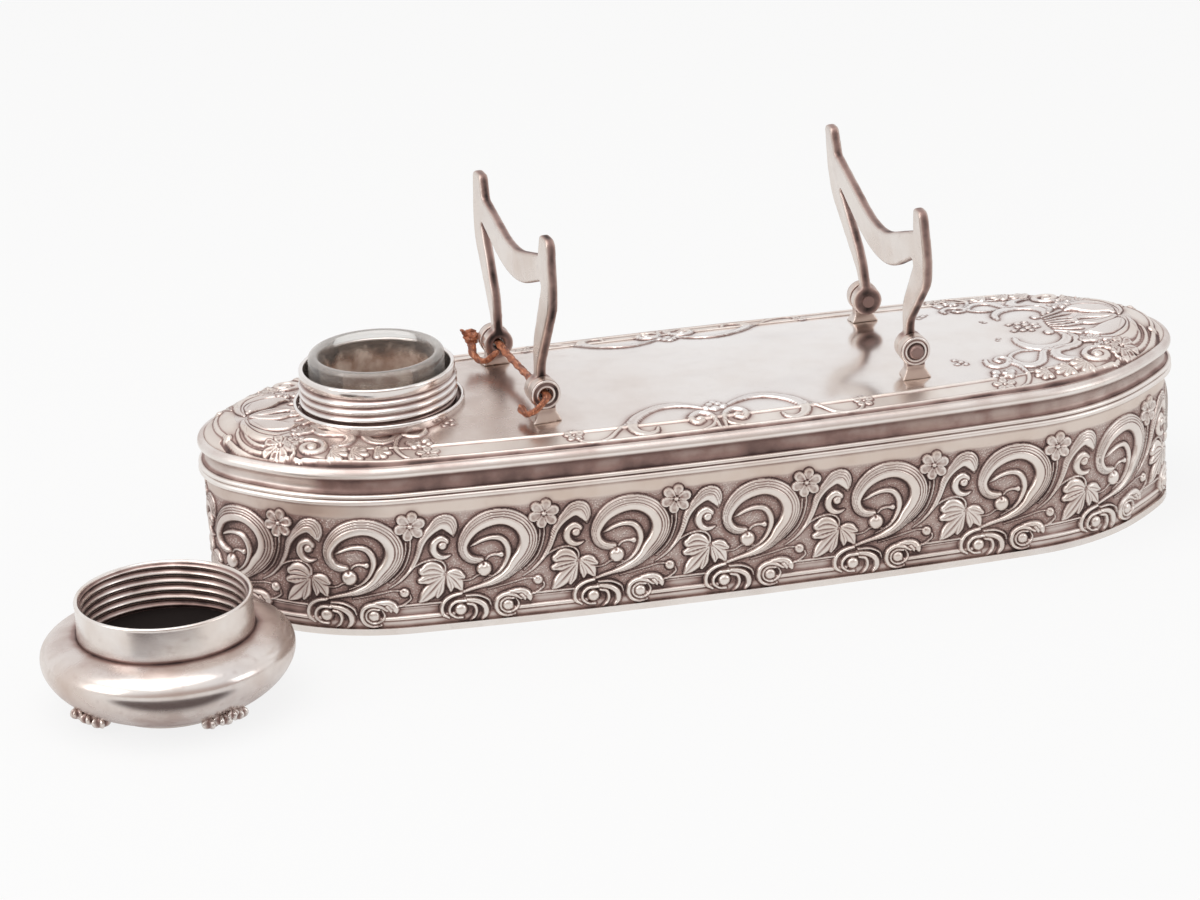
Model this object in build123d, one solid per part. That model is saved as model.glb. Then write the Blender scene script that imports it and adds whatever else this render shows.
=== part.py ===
from build123d import *
import os
from collections import namedtuple
from functools import cache
from math import cos, radians, sin, tan

# Travel inkwell: a long oval silver box with a glass well under a screwed neck, two folding pen
# rests on the lid, and the screw cap taken off and stood upside down beside it.
# Frame: origin at the centre of the underside, +X along the box, +Y to its back, +Z up. Millimetres.

# Plan of the box, at its widest moulding: side, shoulder, end and tip arcs, by the heading they end on
half_length = 120.0
half_width = 38.3
side_turn = 4.2
shoulder_turn = 39.3
end_turn = 47.8
shoulder_radius = 50.8
end_radius = 92.8

# Box walls, from the underside up, with insets from the widest moulding
sheet = 1.2
base_thickness = 1.6
base_inset = 1.2
band_inset_low = 1.9
band_inset_top = 1.5
band_top = 33.0
bead_strip_height = 2.8
bead_strip_depth = 3.2
bead_strip_lip = 0.7
cove_height = 3.4
cove_depth = 1.9
cove_lip = 0.9
shoulder_height = 2.7
shoulder_lip = 0.15
border_inset = 1.9
border_width = 6.3
bead_width = 1.2
bead_height = 0.6
ledge_width = 1.4

# Vault of the lid: its height along the middle line, how far it drops to the border's edge, the width
# over which it rolls down round the ends, and the roll's steps as shares of that width and drop
crown_top = 45.6
crown_drop = 3.7
end_roll = 8.0
roll_steps = ((0.0, 0.0), (0.28, 0.5), (0.6, 0.85), (1.0, 1.0))

# Ink well: neck, flange, cup and glass, with the well's axis in from the left end
well_from_end = 44.0
neck_bore_radius = 17.45
neck_wall = 0.75
thread_depth = 0.6
thread_pitch = 2.0
neck_thread_turns = 3
neck_land_height = 2.3
neck_height = 9.9
flange_radius = 20.4
flange_height = 1.6
flange_lip = 0.9
flange_groove_depth = 1.5
cup_flange_radius = 20.0
cup_drop = 3.6
cushion_thickness = 2.2
glass_radius = 16.2
glass_mouth_radius = 13.75
glass_floor = 4.0
glass_proud = 3.3
glass_rim_round = 1.1

# Pen rests: hinge places over the vault's middle line, and how the photographed rests stand
pivot_height = 5.3
left_rest_from_end = 78.1
left_rest_turn = 6.0
left_rest_lean = 1.1
right_rest_from_end = 70.7
right_rest_turn = 2.3
right_rest_lean = -3.3
rest_thickness = 2.4
rest_edge = 0.35
eye_inner = 15.9
eye_width = 3.0
eye_radius = 3.6
lug_radius = 3.75
lug_width = 2.8
lug_foot_length = 8.0
lug_foot_width = 5.4
lug_foot_height = 3.1
lug_foot_drop = 7.4
lug_waist = 4.6
lug_round = 0.6
pin_radius = 0.85
pin_head_radius = 1.8
pin_head_height = 1.1
tie_hole_radius = 1.5
tie_radius = 0.7
knot_radius = 1.9

# Shape of each pen rest. Reach and height end its horns; the shoulder, the window's corner and the
# cradle's corner stand in from the reach at their own heights; the knee stands out from the eye; and
# the bar's top and low are where the straight edges of the cradle bar would cross.
left_reach = 30.8
left_height = 40.4
left_shoulder_in = 0.5
left_shoulder_up = 23.4
left_corner_in = 5.6
left_corner_up = 29.3
left_cradle_in = 8.2
left_cradle_up = 34.9
left_knee_out = 0.4
left_knee_up = 11.5
left_bar_top = 29.0
left_bar_low = 20.1
right_reach = 38.5
right_height = 40.0
right_shoulder_in = 1.7
right_shoulder_up = 21.8
right_corner_in = 6.9
right_corner_up = 27.3
right_cradle_in = 7.3
right_cradle_up = 33.6
right_knee_out = 1.3
right_knee_up = 11.0
right_bar_top = 23.0
right_bar_low = 12.8

# Parts of the outline that both rests share: flank height as a share, offsets, and corner rounds
flank_share = 0.72
horn_width_in = 1.6
horn_tip_inset = 0.9
ankle_out = 0.3
ankle_up = 2.6
knee_round = 15.0
corner_round = 0.9
bar_low_round = 39.0
bar_top_round = 34.0
cradle_round = 1.0
horn_round_in = 1.5
horn_round_out = 1.9
flank_round = 14.0
shoulder_round = 9.0
ankle_round = 7.0

# Cap, standing upside down on the floor, off the left end and in front of the box
cap_off_end = 15.8
cap_off_front = 16.4
cap_bulb_radius = 29.1
cap_bulb_height = 12.5
cap_shoulder_height = 18.0
cap_shoulder_drop = 0.35
cap_wall = 1.0
cap_crown_radius = 15.4
cap_crown_thickness = 1.2
collar_rim_height = 26.5
collar_thread_turns = 5
seal_thickness = 2.2
ornament_radius = 2.6
ornament_lift = 0.9
ornament_spread = 8.5

# Clearances
solder_gap = 0.02
part_gap = 0.3
slip_fit = 0.05
thread_fit = 0.45
seal_gap = 0.1

# Overlap of united solids, and how far a cut runs past what it cuts
bite = 0.1
cut_past = 1.0

# Top of the cup under the neck, and the edge of the lid's border
cup_top = crown_top - cup_drop
border_edge = crown_top - crown_drop

# Places that follow from the plan
well_x = well_from_end - half_length
left_rest_x = left_rest_from_end - half_length
right_rest_x = half_length - right_rest_from_end
cap_x = -half_length - cap_off_end
cap_y = -half_width - cap_off_front

# Cap collar, sized to screw over the neck and close its seal on the glass
collar_root = neck_bore_radius + neck_wall + thread_depth + thread_fit
collar_radius = collar_root + cap_wall
seal_top = collar_rim_height - (neck_height + glass_proud - flange_height) - seal_gap

# Outer face of a lug, and the route radius of a thong wrapped round it
lug_face = eye_inner + eye_width + part_gap + lug_width
wrap_radius = lug_radius + tie_radius

RestShape = namedtuple(
    "RestShape", "reach height shoulder_in shoulder_up corner_in corner_up cradle_in cradle_up"
    " knee_out knee_up bar_top bar_low"
)
left_rest = RestShape(
    left_reach, left_height, left_shoulder_in, left_shoulder_up, left_corner_in, left_corner_up,
    left_cradle_in, left_cradle_up, left_knee_out, left_knee_up, left_bar_top, left_bar_low
)
right_rest = RestShape(
    right_reach, right_height, right_shoulder_in, right_shoulder_up, right_corner_in, right_corner_up,
    right_cradle_in, right_cradle_up, right_knee_out, right_knee_up, right_bar_top, right_bar_low
)


def arc_radii(inset):
    """Radii of the side, shoulder, end and tip arcs of the plan, moved inwards by inset.

    The side and tip radii are the two that make the four arcs end square on both axes.
    """
    h1, h2, h3 = (radians(a) for a in (side_turn, shoulder_turn, end_turn))
    along = half_length - shoulder_radius * (sin(h2) - sin(h1)) - end_radius * (sin(h3) - sin(h2))
    across = half_width - shoulder_radius * (cos(h1) - cos(h2)) - end_radius * (cos(h2) - cos(h3))
    det = sin(h1) * cos(h3) - (1 - sin(h3)) * (1 - cos(h1))
    side = (along * cos(h3) - (1 - sin(h3)) * across) / det
    tip = (sin(h1) * across - (1 - cos(h1)) * along) / det
    return [r - inset for r in (side, shoulder_radius, end_radius, tip)]


def plan_wire(inset=0.0):
    """Closed plan outline, inset from the widest moulding, starting at the middle of the front."""
    headings = [radians(a) for a in (0, side_turn, shoulder_turn, end_turn, 90)]
    x, y = 0.0, inset - half_width
    quarter = []
    for radius, low, high in zip(arc_radii(inset), headings, headings[1:]):
        for heading in ((low + high) / 2, high):
            quarter.append(
                (x + radius * (sin(heading) - sin(low)), y - radius * (cos(heading) - cos(low)))
            )
        x, y = quarter[-1]
    right = [(0.0, inset - half_width)] + quarter
    right[-1] = (right[-1][0], 0.0)
    loop = right + [(px, -py) for px, py in right[-2::-1]]
    loop += [(-px, -py) for px, py in right[1:]] + [(-px, py) for px, py in right[-2::-1]]
    return Wire([ThreePointArc(*loop[i : i + 3]).edge() for i in range(0, len(loop) - 2, 2)])


def section_plane():
    """Upright plane at the middle of the front: local x is the inset, local y is the height."""
    return Plane(origin=(0, -half_width, 0), x_dir=(0, 1, 0), z_dir=(1, 0, 0))


def ring(section):
    """Carry a section of inset and height once round the plan."""
    return sweep(section_plane() * section, path=plan_wire())


def bead_ring(inset, seat):
    """Half-round wire round the plan, lying flat on its seat."""
    half = bead_width / 2
    arc = ThreePointArc((inset, seat), (inset + half, seat + bead_height), (inset + bead_width, seat))
    return ring(make_face([arc, Line((inset + bead_width, seat), (inset, seat))]))


def disc(radius, low, high, x=0.0, y=0.0):
    """Upright cylinder between two heights."""
    return Pos(x, y, low) * Cylinder(radius, high - low, align=(Align.CENTER, Align.CENTER, Align.MIN))


def tube(outer, inner, low, high, x=0.0, y=0.0):
    """Upright tube between two heights."""
    return disc(outer, low, high, x, y) - disc(inner, low - cut_past, high + cut_past, x, y)


def peg(radius, low, high):
    """Cylinder along Y between two places on the hinge axis."""
    return Pos(0, (low + high) / 2, 0) * Rot(90, 0, 0) * Cylinder(radius, high - low)


def thread(root_radius, depth, low, turns):
    """Rounded ridge wound on a root radius; a negative depth stands inwards, for a collar."""
    path = Helix(pitch=thread_pitch, height=thread_pitch * turns, radius=root_radius)
    half = thread_pitch * 0.36
    foot = -bite if depth > 0 else bite
    ridge = Polyline((foot, -half), (depth * 0.75, -half * 0.45), (depth, 0), (depth * 0.75, half * 0.45),
                     (foot, half), close=True)
    start = Plane(origin=path @ 0, x_dir=(1, 0, 0), z_dir=path % 0)
    return Pos(0, 0, low) * sweep(start * make_face(ridge), path=path, is_frenet=True)


def plan_slab(inset, low, high):
    """Upright solid inside the plan outline, between two heights."""
    return Pos(0, 0, low) * extrude(make_face(plan_wire(inset)), high - low)


@cache
def vault(lift):
    """Solid under the lid's vault, moved up by lift: curved across, and rolled down round the plan's ends."""
    half_across, half_along = half_width - border_inset, half_length - border_inset
    low, edge, top = border_edge - crown_drop, border_edge + lift, crown_top + lift
    across = [
        ThreePointArc((-half_across, edge), (0, top), (half_across, edge)),
        Polyline((half_across, edge), (half_across, low), (-half_across, low), (-half_across, edge)),
    ]
    body = extrude(Plane.YZ * make_face(across), half_along, both=True)
    roll = plan_slab(border_inset, low, edge)
    steps = [
        Pos(0, 0, edge + rise * crown_drop) * make_face(plan_wire(border_inset + width * end_roll))
        for width, rise in roll_steps
    ]
    for lower, upper in zip(steps, steps[1:]):
        roll += loft([lower, upper], ruled=True)
    return body & roll


def base_plate():
    """Flat floor whose edge is the smooth flange under the relief band."""
    return extrude(make_face(plan_wire(base_inset)), base_thickness)


def side_band():
    """Sheet wall that carries the relief, standing on the floor."""
    outer_low, outer_top = band_inset_low, band_inset_top
    corners = [(outer_low, base_thickness), (outer_top, band_top), (outer_top + sheet, band_top),
               (outer_low + sheet, base_thickness)]
    return ring(make_face(Polyline(*corners, close=True)))


def bead_strip():
    """Double bead soldered round the top of the band."""
    lip = bead_strip_lip
    half = bead_strip_height / 2
    low, mid, top = band_top, band_top + half, band_top + bead_strip_height
    lines = [
        ThreePointArc((lip, low), (0.0, low + half * 0.5), (lip, mid)),
        ThreePointArc((lip, mid), (0.0, mid + half * 0.5), (lip, top)),
        Polyline((lip, top), (bead_strip_depth, top), (bead_strip_depth, low), (lip, low)),
    ]
    return ring(make_face(lines))


def cover_moulding():
    """Cove and round shoulder of the lid, with the ledge that the border sits on."""
    low = band_top + bead_strip_height
    cove_top = low + cove_height
    round_top = cove_top + shoulder_height
    ledge = border_edge - sheet
    lines = [
        ThreePointArc((cove_lip, low), (cove_depth, low + cove_height * 0.5), (cove_lip, cove_top)),
        ThreePointArc((cove_lip, cove_top), (shoulder_lip, (cove_top + round_top) * 0.5), (cove_lip, round_top)),
        Polyline((cove_lip, round_top), (border_inset, round_top), (border_inset, ledge),
                 (bead_strip_depth, ledge), (bead_strip_depth, low), (cove_lip, low)),
    ]
    return ring(make_face(lines))


def lid_ring(outer_inset, inner_inset, sink, lift):
    """Part of the lid between two insets, from sink under the vault to lift over it."""
    slab = plan_slab(outer_inset, border_edge - crown_drop, crown_top + crown_drop)
    inner = plan_slab(inner_inset, border_edge - crown_drop - cut_past, crown_top + crown_drop + cut_past)
    return (vault(lift) - vault(-sink)) & (slab - inner)


def border():
    """Vaulted border that carries the chased ornament, with a ledge under the plate's edge."""
    inner = border_inset + border_width + bead_width
    ledge = lid_ring(inner - bite, inner + ledge_width, 2 * sheet, -sheet)
    return lid_ring(border_inset, inner, sheet, 0.0) + ledge


def top_plate():
    """Plain polished plate inside the border, holed for the neck."""
    inset = border_inset + border_width + bead_width + solder_gap
    plate = (vault(0.0) - vault(-sheet)) & plan_slab(inset, border_edge - crown_drop, crown_top + cut_past)
    return plate - disc(neck_bore_radius + neck_wall + solder_gap, 0, crown_top + cut_past, well_x)


def inner_bead():
    """Bead between the border and the plate, following the vault."""
    inner = border_inset + border_width
    bead = lid_ring(inner, inner + bead_width, 0.0, bead_height)
    return bead - vault(solder_gap)


def neck_flange():
    """Collar round the foot of the neck: an upstanding lip with a groove inside it."""
    top = crown_top + flange_height
    bore = neck_bore_radius + neck_wall + solder_gap
    body = tube(flange_radius, bore, border_edge, top, well_x)
    edge = body.edges().filter_by(GeomType.CIRCLE).group_by(Axis.Z)[-1].sort_by(SortBy.RADIUS)[-1]
    body = fillet(edge, flange_lip * 0.45)
    floor = top - flange_groove_depth
    body -= tube(flange_radius - flange_lip, bore - cut_past, floor, top + cut_past, well_x)
    return body - vault(solder_gap)


def threaded_neck():
    """Neck tube with a coarse screw thread under a plain land."""
    root = neck_bore_radius + neck_wall
    top = crown_top + neck_height
    body = tube(root, neck_bore_radius, cup_top, top, well_x)
    land = tube(root + thread_depth * 0.6, neck_bore_radius, top - neck_land_height, top, well_x)
    start = top - neck_land_height - thread_pitch * (neck_thread_turns + 0.35)
    return body + land + Pos(well_x, 0, 0) * thread(root, thread_depth, start, neck_thread_turns)


def well_cup():
    """Deep cup under the neck that holds the glass."""
    outer = neck_bore_radius + neck_wall
    body = disc(outer, base_thickness, cup_top, well_x)
    body += disc(cup_flange_radius, cup_top - sheet, cup_top, well_x)
    body += tube(cup_flange_radius, outer + solder_gap, cup_top - sheet, crown_top, well_x)
    body &= vault(-sheet - solder_gap) + disc(cup_flange_radius, 0, border_edge - sheet, well_x)
    return body - disc(neck_bore_radius, base_thickness + neck_wall, crown_top, well_x)


def liner_cushion():
    """Leather disc under the glass."""
    low = base_thickness + neck_wall
    return disc(neck_bore_radius - part_gap, low, low + cushion_thickness, well_x)


def glass_liner():
    """Thick glass that holds the ink and stands proud of the neck."""
    low = base_thickness + neck_wall + cushion_thickness + part_gap
    top = crown_top + neck_height + glass_proud
    body = tube(glass_radius, glass_mouth_radius, low, top, well_x)
    body = fillet(body.edges().filter_by(GeomType.CIRCLE).group_by(Axis.Z)[-1], glass_rim_round)
    return body + disc(glass_radius, low, low + glass_floor, well_x)


def rest_place(x, turn):
    """Place of a pen rest's hinge: local Y is the hinge axis and local Z is up."""
    return Pos(x, 0, crown_top + pivot_height) * Rot(0, 0, turn)


def rest_outline(shape):
    """Lyre outline on the rest's own plane: two legs, two horns and the cradle bar between them."""
    foot = eye_radius * 0.7
    outer = eye_inner + eye_width
    knee = (eye_inner + shape.knee_out, shape.knee_up)
    corner = (shape.reach - shape.corner_in, shape.corner_up)
    cradle = (shape.reach - shape.cradle_in, shape.cradle_up)
    shoulder = (shape.reach - shape.shoulder_in, shape.shoulder_up)
    tip_in = (cradle[0] + horn_width_in, shape.height)
    tip_out = (shape.reach - horn_tip_inset, shape.height)
    flank = (shape.reach, shape.height * flank_share)
    ankle = (outer + ankle_out, eye_radius + ankle_up)
    inside = [(eye_inner, foot), knee, corner, (0, shape.bar_low)]
    outside = [(outer, foot), ankle, shoulder, flank, tip_out, tip_in, cradle, (0, shape.bar_top)]
    loop = [(-y, z) for y, z in inside[:-1]] + inside[::-1] + outside + [(-y, z) for y, z in outside[-2::-1]]
    body = make_face(Polyline(*loop, close=True))
    rounds = {knee: knee_round, corner: corner_round, (0, shape.bar_low): bar_low_round,
              (0, shape.bar_top): bar_top_round, cradle: cradle_round, tip_in: horn_round_in,
              tip_out: horn_round_out, flank: flank_round, shoulder: shoulder_round, ankle: ankle_round}
    for (y, z), radius in rounds.items():
        for place in {(y, z), (-y, z)}:
            body = fillet(body.vertices().sort_by_distance((*place, 0))[0], radius)
    return body


def pen_rest(outline, hole):
    """Flat lyre-shaped rest with a round eye under each leg."""
    upright = Plane(origin=(-rest_thickness / 2, 0, 0), x_dir=(0, 1, 0), z_dir=(1, 0, 0))
    body = extrude(upright * outline, rest_thickness)
    rims = body.faces().sort_by(Axis.X)
    body = chamfer(rims[0].edges() + rims[-1].edges(), rest_edge)
    for side in (-1, 1):
        low, high = sorted((side * eye_inner, side * (eye_inner + eye_width)))
        body = body + peg(eye_radius, low, high) - peg(hole, low - cut_past, high + cut_past)
    return body


def lug(side, hole):
    """Round-headed lug on a spread pyramid foot, outside one eye; side is -1 for the front, 1 for the back."""
    low, high = sorted((side * (lug_face - lug_width), side * lug_face))
    bottom, step, top = -lug_foot_drop, lug_foot_height - lug_foot_drop, -lug_radius * 0.55
    middle = (low + high) / 2
    stem = Pos(0, middle, (step + top) / 2) * Box(lug_waist, lug_width, top - step + bite)
    spread = Plane(origin=(0, middle, bottom)) * Rectangle(lug_foot_length, lug_foot_width)
    foot = loft([spread, Plane(origin=(0, middle, step)) * Rectangle(lug_waist, lug_width)])
    head = peg(lug_radius, low, high)
    rim = head.edges().filter_by(GeomType.CIRCLE).sort_by(Axis.Y)[0 if side < 0 else -1]
    return fillet(rim, lug_round) + stem + foot - peg(hole, low - cut_past, high + cut_past)


def hinge_pin(side):
    """Pin through one lug and eye: domed head outside, small riveted end inside."""
    shank = peg(pin_radius - slip_fit, eye_inner, lug_face + part_gap)
    head = peg(pin_head_radius, lug_face + part_gap, lug_face + part_gap + pin_head_height)
    rim = head.edges().filter_by(GeomType.CIRCLE).sort_by(Axis.Y)[-1]
    rivet = peg(pin_head_radius * 0.8, eye_inner - pin_head_height * 0.5, eye_inner)
    pin = shank + fillet(rim, pin_head_height * 0.8) + rivet
    return pin if side > 0 else pin.rotate(Axis.Z, 180)


def thong(points):
    """Round thong along a route of straight runs joined by the largest arcs that the runs allow."""
    runs = [Vector(b) - Vector(a) for a, b in zip(points, points[1:])]
    radii = []
    for first, second in zip(runs, runs[1:]):
        radii.append(0.45 * min(first.length, second.length) / tan(radians(first.get_angle(second)) / 2))
    path = FilletPolyline(*points, radius=radii)
    print("thong radii", [round(r, 1) for r in radii], "length", round(path.length, 1))
    return sweep(Plane(origin=path @ 0, z_dir=path % 0) * Circle(tie_radius), path=path)


def at_hinge(x, y, z):
    """Point at the left hinge: x and z in shares of the wrap radius, y in shares of the lug's outer face."""
    return (x * wrap_radius, y * lug_face, z * wrap_radius)


def left_tie():
    """Leather thong in place of the lost pins: out of a knot, along both hinges and round the front lug."""
    route = [(-0.81, 1.105, -0.02), (-0.38, 1.095, 0.02), (0.0, 1.04, 0.0), (0.02, 0.932, 0.01),
             (0.0, 0.705, 0.0), (-0.02, 0.364, -0.07), (0.02, -0.091, -0.09), (0.01, -0.5, -0.045),
             (0.0, -0.75, 0.0), (0.01, -0.936, 0.0), (-0.07, -1.055, -0.07), (-0.52, -1.086, -0.45),
             (-0.99, -1.032, -0.88), (-1.17, -0.918, -0.94), (-1.12, -0.8, -0.76)]
    return thong([at_hinge(*place) for place in route])


def left_tie_loop():
    """End of the same thong, from the knot round the rear lug and eye and back to the hinge line."""
    route = [(-1.1, 1.055, -0.22), (-1.24, 0.95, -0.58), (-1.17, 0.823, -0.83), (-0.94, 0.691, -0.79),
             (-0.54, 0.636, -0.47), (-0.2, 0.609, -0.16)]
    return thong([at_hinge(*place) for place in route])


def left_tie_knot():
    """Knot behind the rear lug, with two short frayed ends."""
    centre = at_hinge(-1.03, 1.105, -0.02)
    knot = Pos(*centre) * Sphere(knot_radius)
    for place in ((-1.66, 1.136, 0.49), (-1.21, 1.123, -0.67)):
        path = Line(centre, at_hinge(*place))
        knot += sweep(Plane(origin=path @ 0, z_dir=path % 0) * Circle(tie_radius), path=path)
    return knot


def cap_profile(wall):
    """Half section of the cap's bulb, moved inwards by wall: crown edge, bulb and shoulder."""
    crown, bulb = cap_crown_radius, cap_bulb_radius - wall
    low, mid, top = cap_crown_thickness + wall, cap_bulb_height, cap_shoulder_height - wall
    span = bulb - crown
    edge = (bulb - span * 0.42, top - cap_shoulder_drop)
    return [
        Line((0, low), (crown, low)),
        ThreePointArc((crown, low), (crown + span * 0.74, low + (mid - low) * 0.34), (bulb, mid)),
        ThreePointArc((bulb, mid), (bulb - span * 0.16, mid + (top - mid) * 0.66), edge),
        Line(edge, (collar_root, top)),
        Line((collar_root, top), (0, top)),
        Line((0, top), (0, low)),
    ]


def turned(lines):
    """Turn a half section of radius and height about the upright axis."""
    return revolve(Plane.XZ * make_face(lines), Axis.Z)


def cap_shell():
    """Hollow bulb, open where the collar passes through."""
    mouth = disc(collar_radius + solder_gap, cap_bulb_height, collar_rim_height)
    return turned(cap_profile(0.0)) - turned(cap_profile(cap_wall)) - mouth


def cap_collar():
    """Threaded collar with the plate that backs the seal."""
    low = seal_top - seal_thickness - cap_wall
    body = tube(collar_radius, collar_root, low, collar_rim_height)
    body = fillet(body.edges().filter_by(GeomType.CIRCLE).group_by(Axis.Z)[-1], cap_wall * 0.4)
    start = collar_rim_height - thread_pitch * (collar_thread_turns + 0.45)
    body += disc(collar_root + bite, low, low + cap_wall)
    return body + thread(collar_root, -thread_depth, start, collar_thread_turns)


def cap_seal():
    """Leather seal that closes on the glass rim."""
    return disc(collar_root - part_gap, seal_top - seal_thickness, seal_top)


def cap_crown():
    """Flat turned top of the cap, on which it stands."""
    plate = disc(cap_crown_radius, 0, cap_crown_thickness)
    return plate - tube(cap_crown_radius * 0.82, cap_crown_radius * 0.5, -cut_past, cap_crown_thickness * 0.3)


def cap_ornaments():
    """Four cast leaf clusters on the crown side of the bulb, clear of the floor."""
    envelope = turned(cap_profile(-solder_gap))
    clusters = Part()
    for quarter in range(4):
        for step, share in ((-1, 0.77), (0, 1.0), (1, 0.77)):
            turn, radius = 45 + 90 * quarter + step * ornament_spread, ornament_radius * share
            lump = Pos(cap_bulb_radius * 0.77, 0, radius + ornament_lift) * Sphere(radius)
            clusters += Rot(0, 0, turn) * lump
    return clusters - envelope


def shape_parts():
    """All pieces of the inkwell by node name."""
    round_top = band_top + bead_strip_height + cove_height + shoulder_height
    parts = {
        "base_plate": base_plate(),
        "side_band": side_band(),
        "bead_strip": bead_strip(),
        "cover_moulding": cover_moulding(),
        "border": border(),
        "top_plate": top_plate(),
        "outer_bead": bead_ring(border_inset - bead_width, round_top),
        "inner_bead": inner_bead(),
        "neck_flange": neck_flange(),
        "threaded_neck": threaded_neck(),
        "well_cup": well_cup(),
        "liner_cushion": liner_cushion(),
        "glass_liner": glass_liner(),
    }
    left_place = rest_place(left_rest_x, left_rest_turn)
    right_place = rest_place(right_rest_x, right_rest_turn)
    left_shape = pen_rest(rest_outline(left_rest), tie_hole_radius)
    right_shape = pen_rest(rest_outline(right_rest), pin_radius)
    parts["left_pen_rest"] = left_place * Rot(0, left_rest_lean, 0) * left_shape
    parts["right_pen_rest"] = right_place * Rot(0, right_rest_lean, 0) * right_shape
    lid = vault(solder_gap)
    for name, side in (("front", -1), ("rear", 1)):
        parts[f"left_{name}_lug"] = left_place * lug(side, tie_hole_radius) - lid
        parts[f"right_{name}_lug"] = right_place * lug(side, pin_radius) - lid
        parts[f"right_{name}_pin"] = right_place * hinge_pin(side)
    for build in (left_tie, left_tie_loop, left_tie_knot):
        parts[build.__name__] = left_place * build()
    for build in (cap_shell, cap_collar, cap_seal, cap_crown, cap_ornaments):
        parts[build.__name__] = Pos(cap_x, cap_y, 0) * build()
    return parts


os.makedirs("parts", exist_ok=True)
for node, shape in shape_parts().items():
    export_step(shape, f"parts/{node}.step")
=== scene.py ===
"""Travel inkwell: the chased silver box, its glass well, its two pen rests and its screw cap.

Lengths are millimetres in the frame's axes until a mesh is made, which is in metres.
"""

import logging
import math
from dataclasses import dataclass
from enum import Enum
from functools import cached_property
from typing import Any, Callable, Sequence

import bpy
import numpy as np
from mathutils import Matrix, Vector


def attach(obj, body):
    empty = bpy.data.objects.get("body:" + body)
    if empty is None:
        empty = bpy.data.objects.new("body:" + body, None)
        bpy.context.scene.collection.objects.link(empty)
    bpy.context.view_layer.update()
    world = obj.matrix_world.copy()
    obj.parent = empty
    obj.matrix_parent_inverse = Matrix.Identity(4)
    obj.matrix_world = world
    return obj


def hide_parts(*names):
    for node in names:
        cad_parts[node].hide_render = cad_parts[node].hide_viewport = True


LOG = logging.getLogger("inkwell")
MM = 0.001

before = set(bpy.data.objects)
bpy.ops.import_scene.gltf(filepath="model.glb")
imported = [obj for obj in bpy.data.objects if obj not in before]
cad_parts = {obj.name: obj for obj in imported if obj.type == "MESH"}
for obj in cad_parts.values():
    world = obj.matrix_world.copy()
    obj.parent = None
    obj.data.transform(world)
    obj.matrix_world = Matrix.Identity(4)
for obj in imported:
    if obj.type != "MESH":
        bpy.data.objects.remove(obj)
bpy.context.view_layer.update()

Array = np.ndarray
Colour = tuple[float, float, float, float]
Triple = tuple[float, float, float]
Points = Sequence[Triple]


class Body(Enum):
    """Moving bodies of the frame."""

    BOX = "box"
    LEFT_REST = "left_rest"
    RIGHT_REST = "right_rest"
    GLASS = "glass"
    CAP = "cap"


class Ridge(Enum):
    """Cross-sections that a chased stroke can have."""

    ROUND = "round"
    FLAT = "flat"
    RIBBON = "ribbon"
    PLUME = "plume"
    CUP = "cup"
    LEAF = "leaf"


class Value:
    """A shader socket that can stand in an expression."""

    def __init__(self, graph: "Graph", socket: Any) -> None:
        """Keep the socket and the graph that new nodes go into."""
        self.graph = graph
        self.socket = socket

    def _math(self, operation: str, first: Any, second: Any) -> "Value":
        """Add one Math node."""
        return self.graph.node("ShaderNodeMath", {"operation": operation}, {0: first, 1: second})

    def __add__(self, other: Any) -> "Value":
        """Sum."""
        return self._math("ADD", self, other)

    def __radd__(self, other: Any) -> "Value":
        """Sum with a number in front."""
        return self._math("ADD", other, self)

    def __sub__(self, other: Any) -> "Value":
        """Difference."""
        return self._math("SUBTRACT", self, other)

    def __rsub__(self, other: Any) -> "Value":
        """Difference from a number in front."""
        return self._math("SUBTRACT", other, self)

    def __mul__(self, other: Any) -> "Value":
        """Product."""
        return self._math("MULTIPLY", self, other)

    def __rmul__(self, other: Any) -> "Value":
        """Product with a number in front."""
        return self._math("MULTIPLY", other, self)

    def clamp(self) -> "Value":
        """Hold the value between 0 and 1."""
        return self.graph.node("ShaderNodeClamp", {}, {"Value": self})

    def above(self, low: float, high: float) -> "Value":
        """Rise smoothly from 0 at low to 1 at high."""
        return self.graph.node(
            "ShaderNodeMapRange",
            {"interpolation_type": "SMOOTHSTEP"},
            {"Value": self, "From Min": low, "From Max": high},
        )


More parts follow.
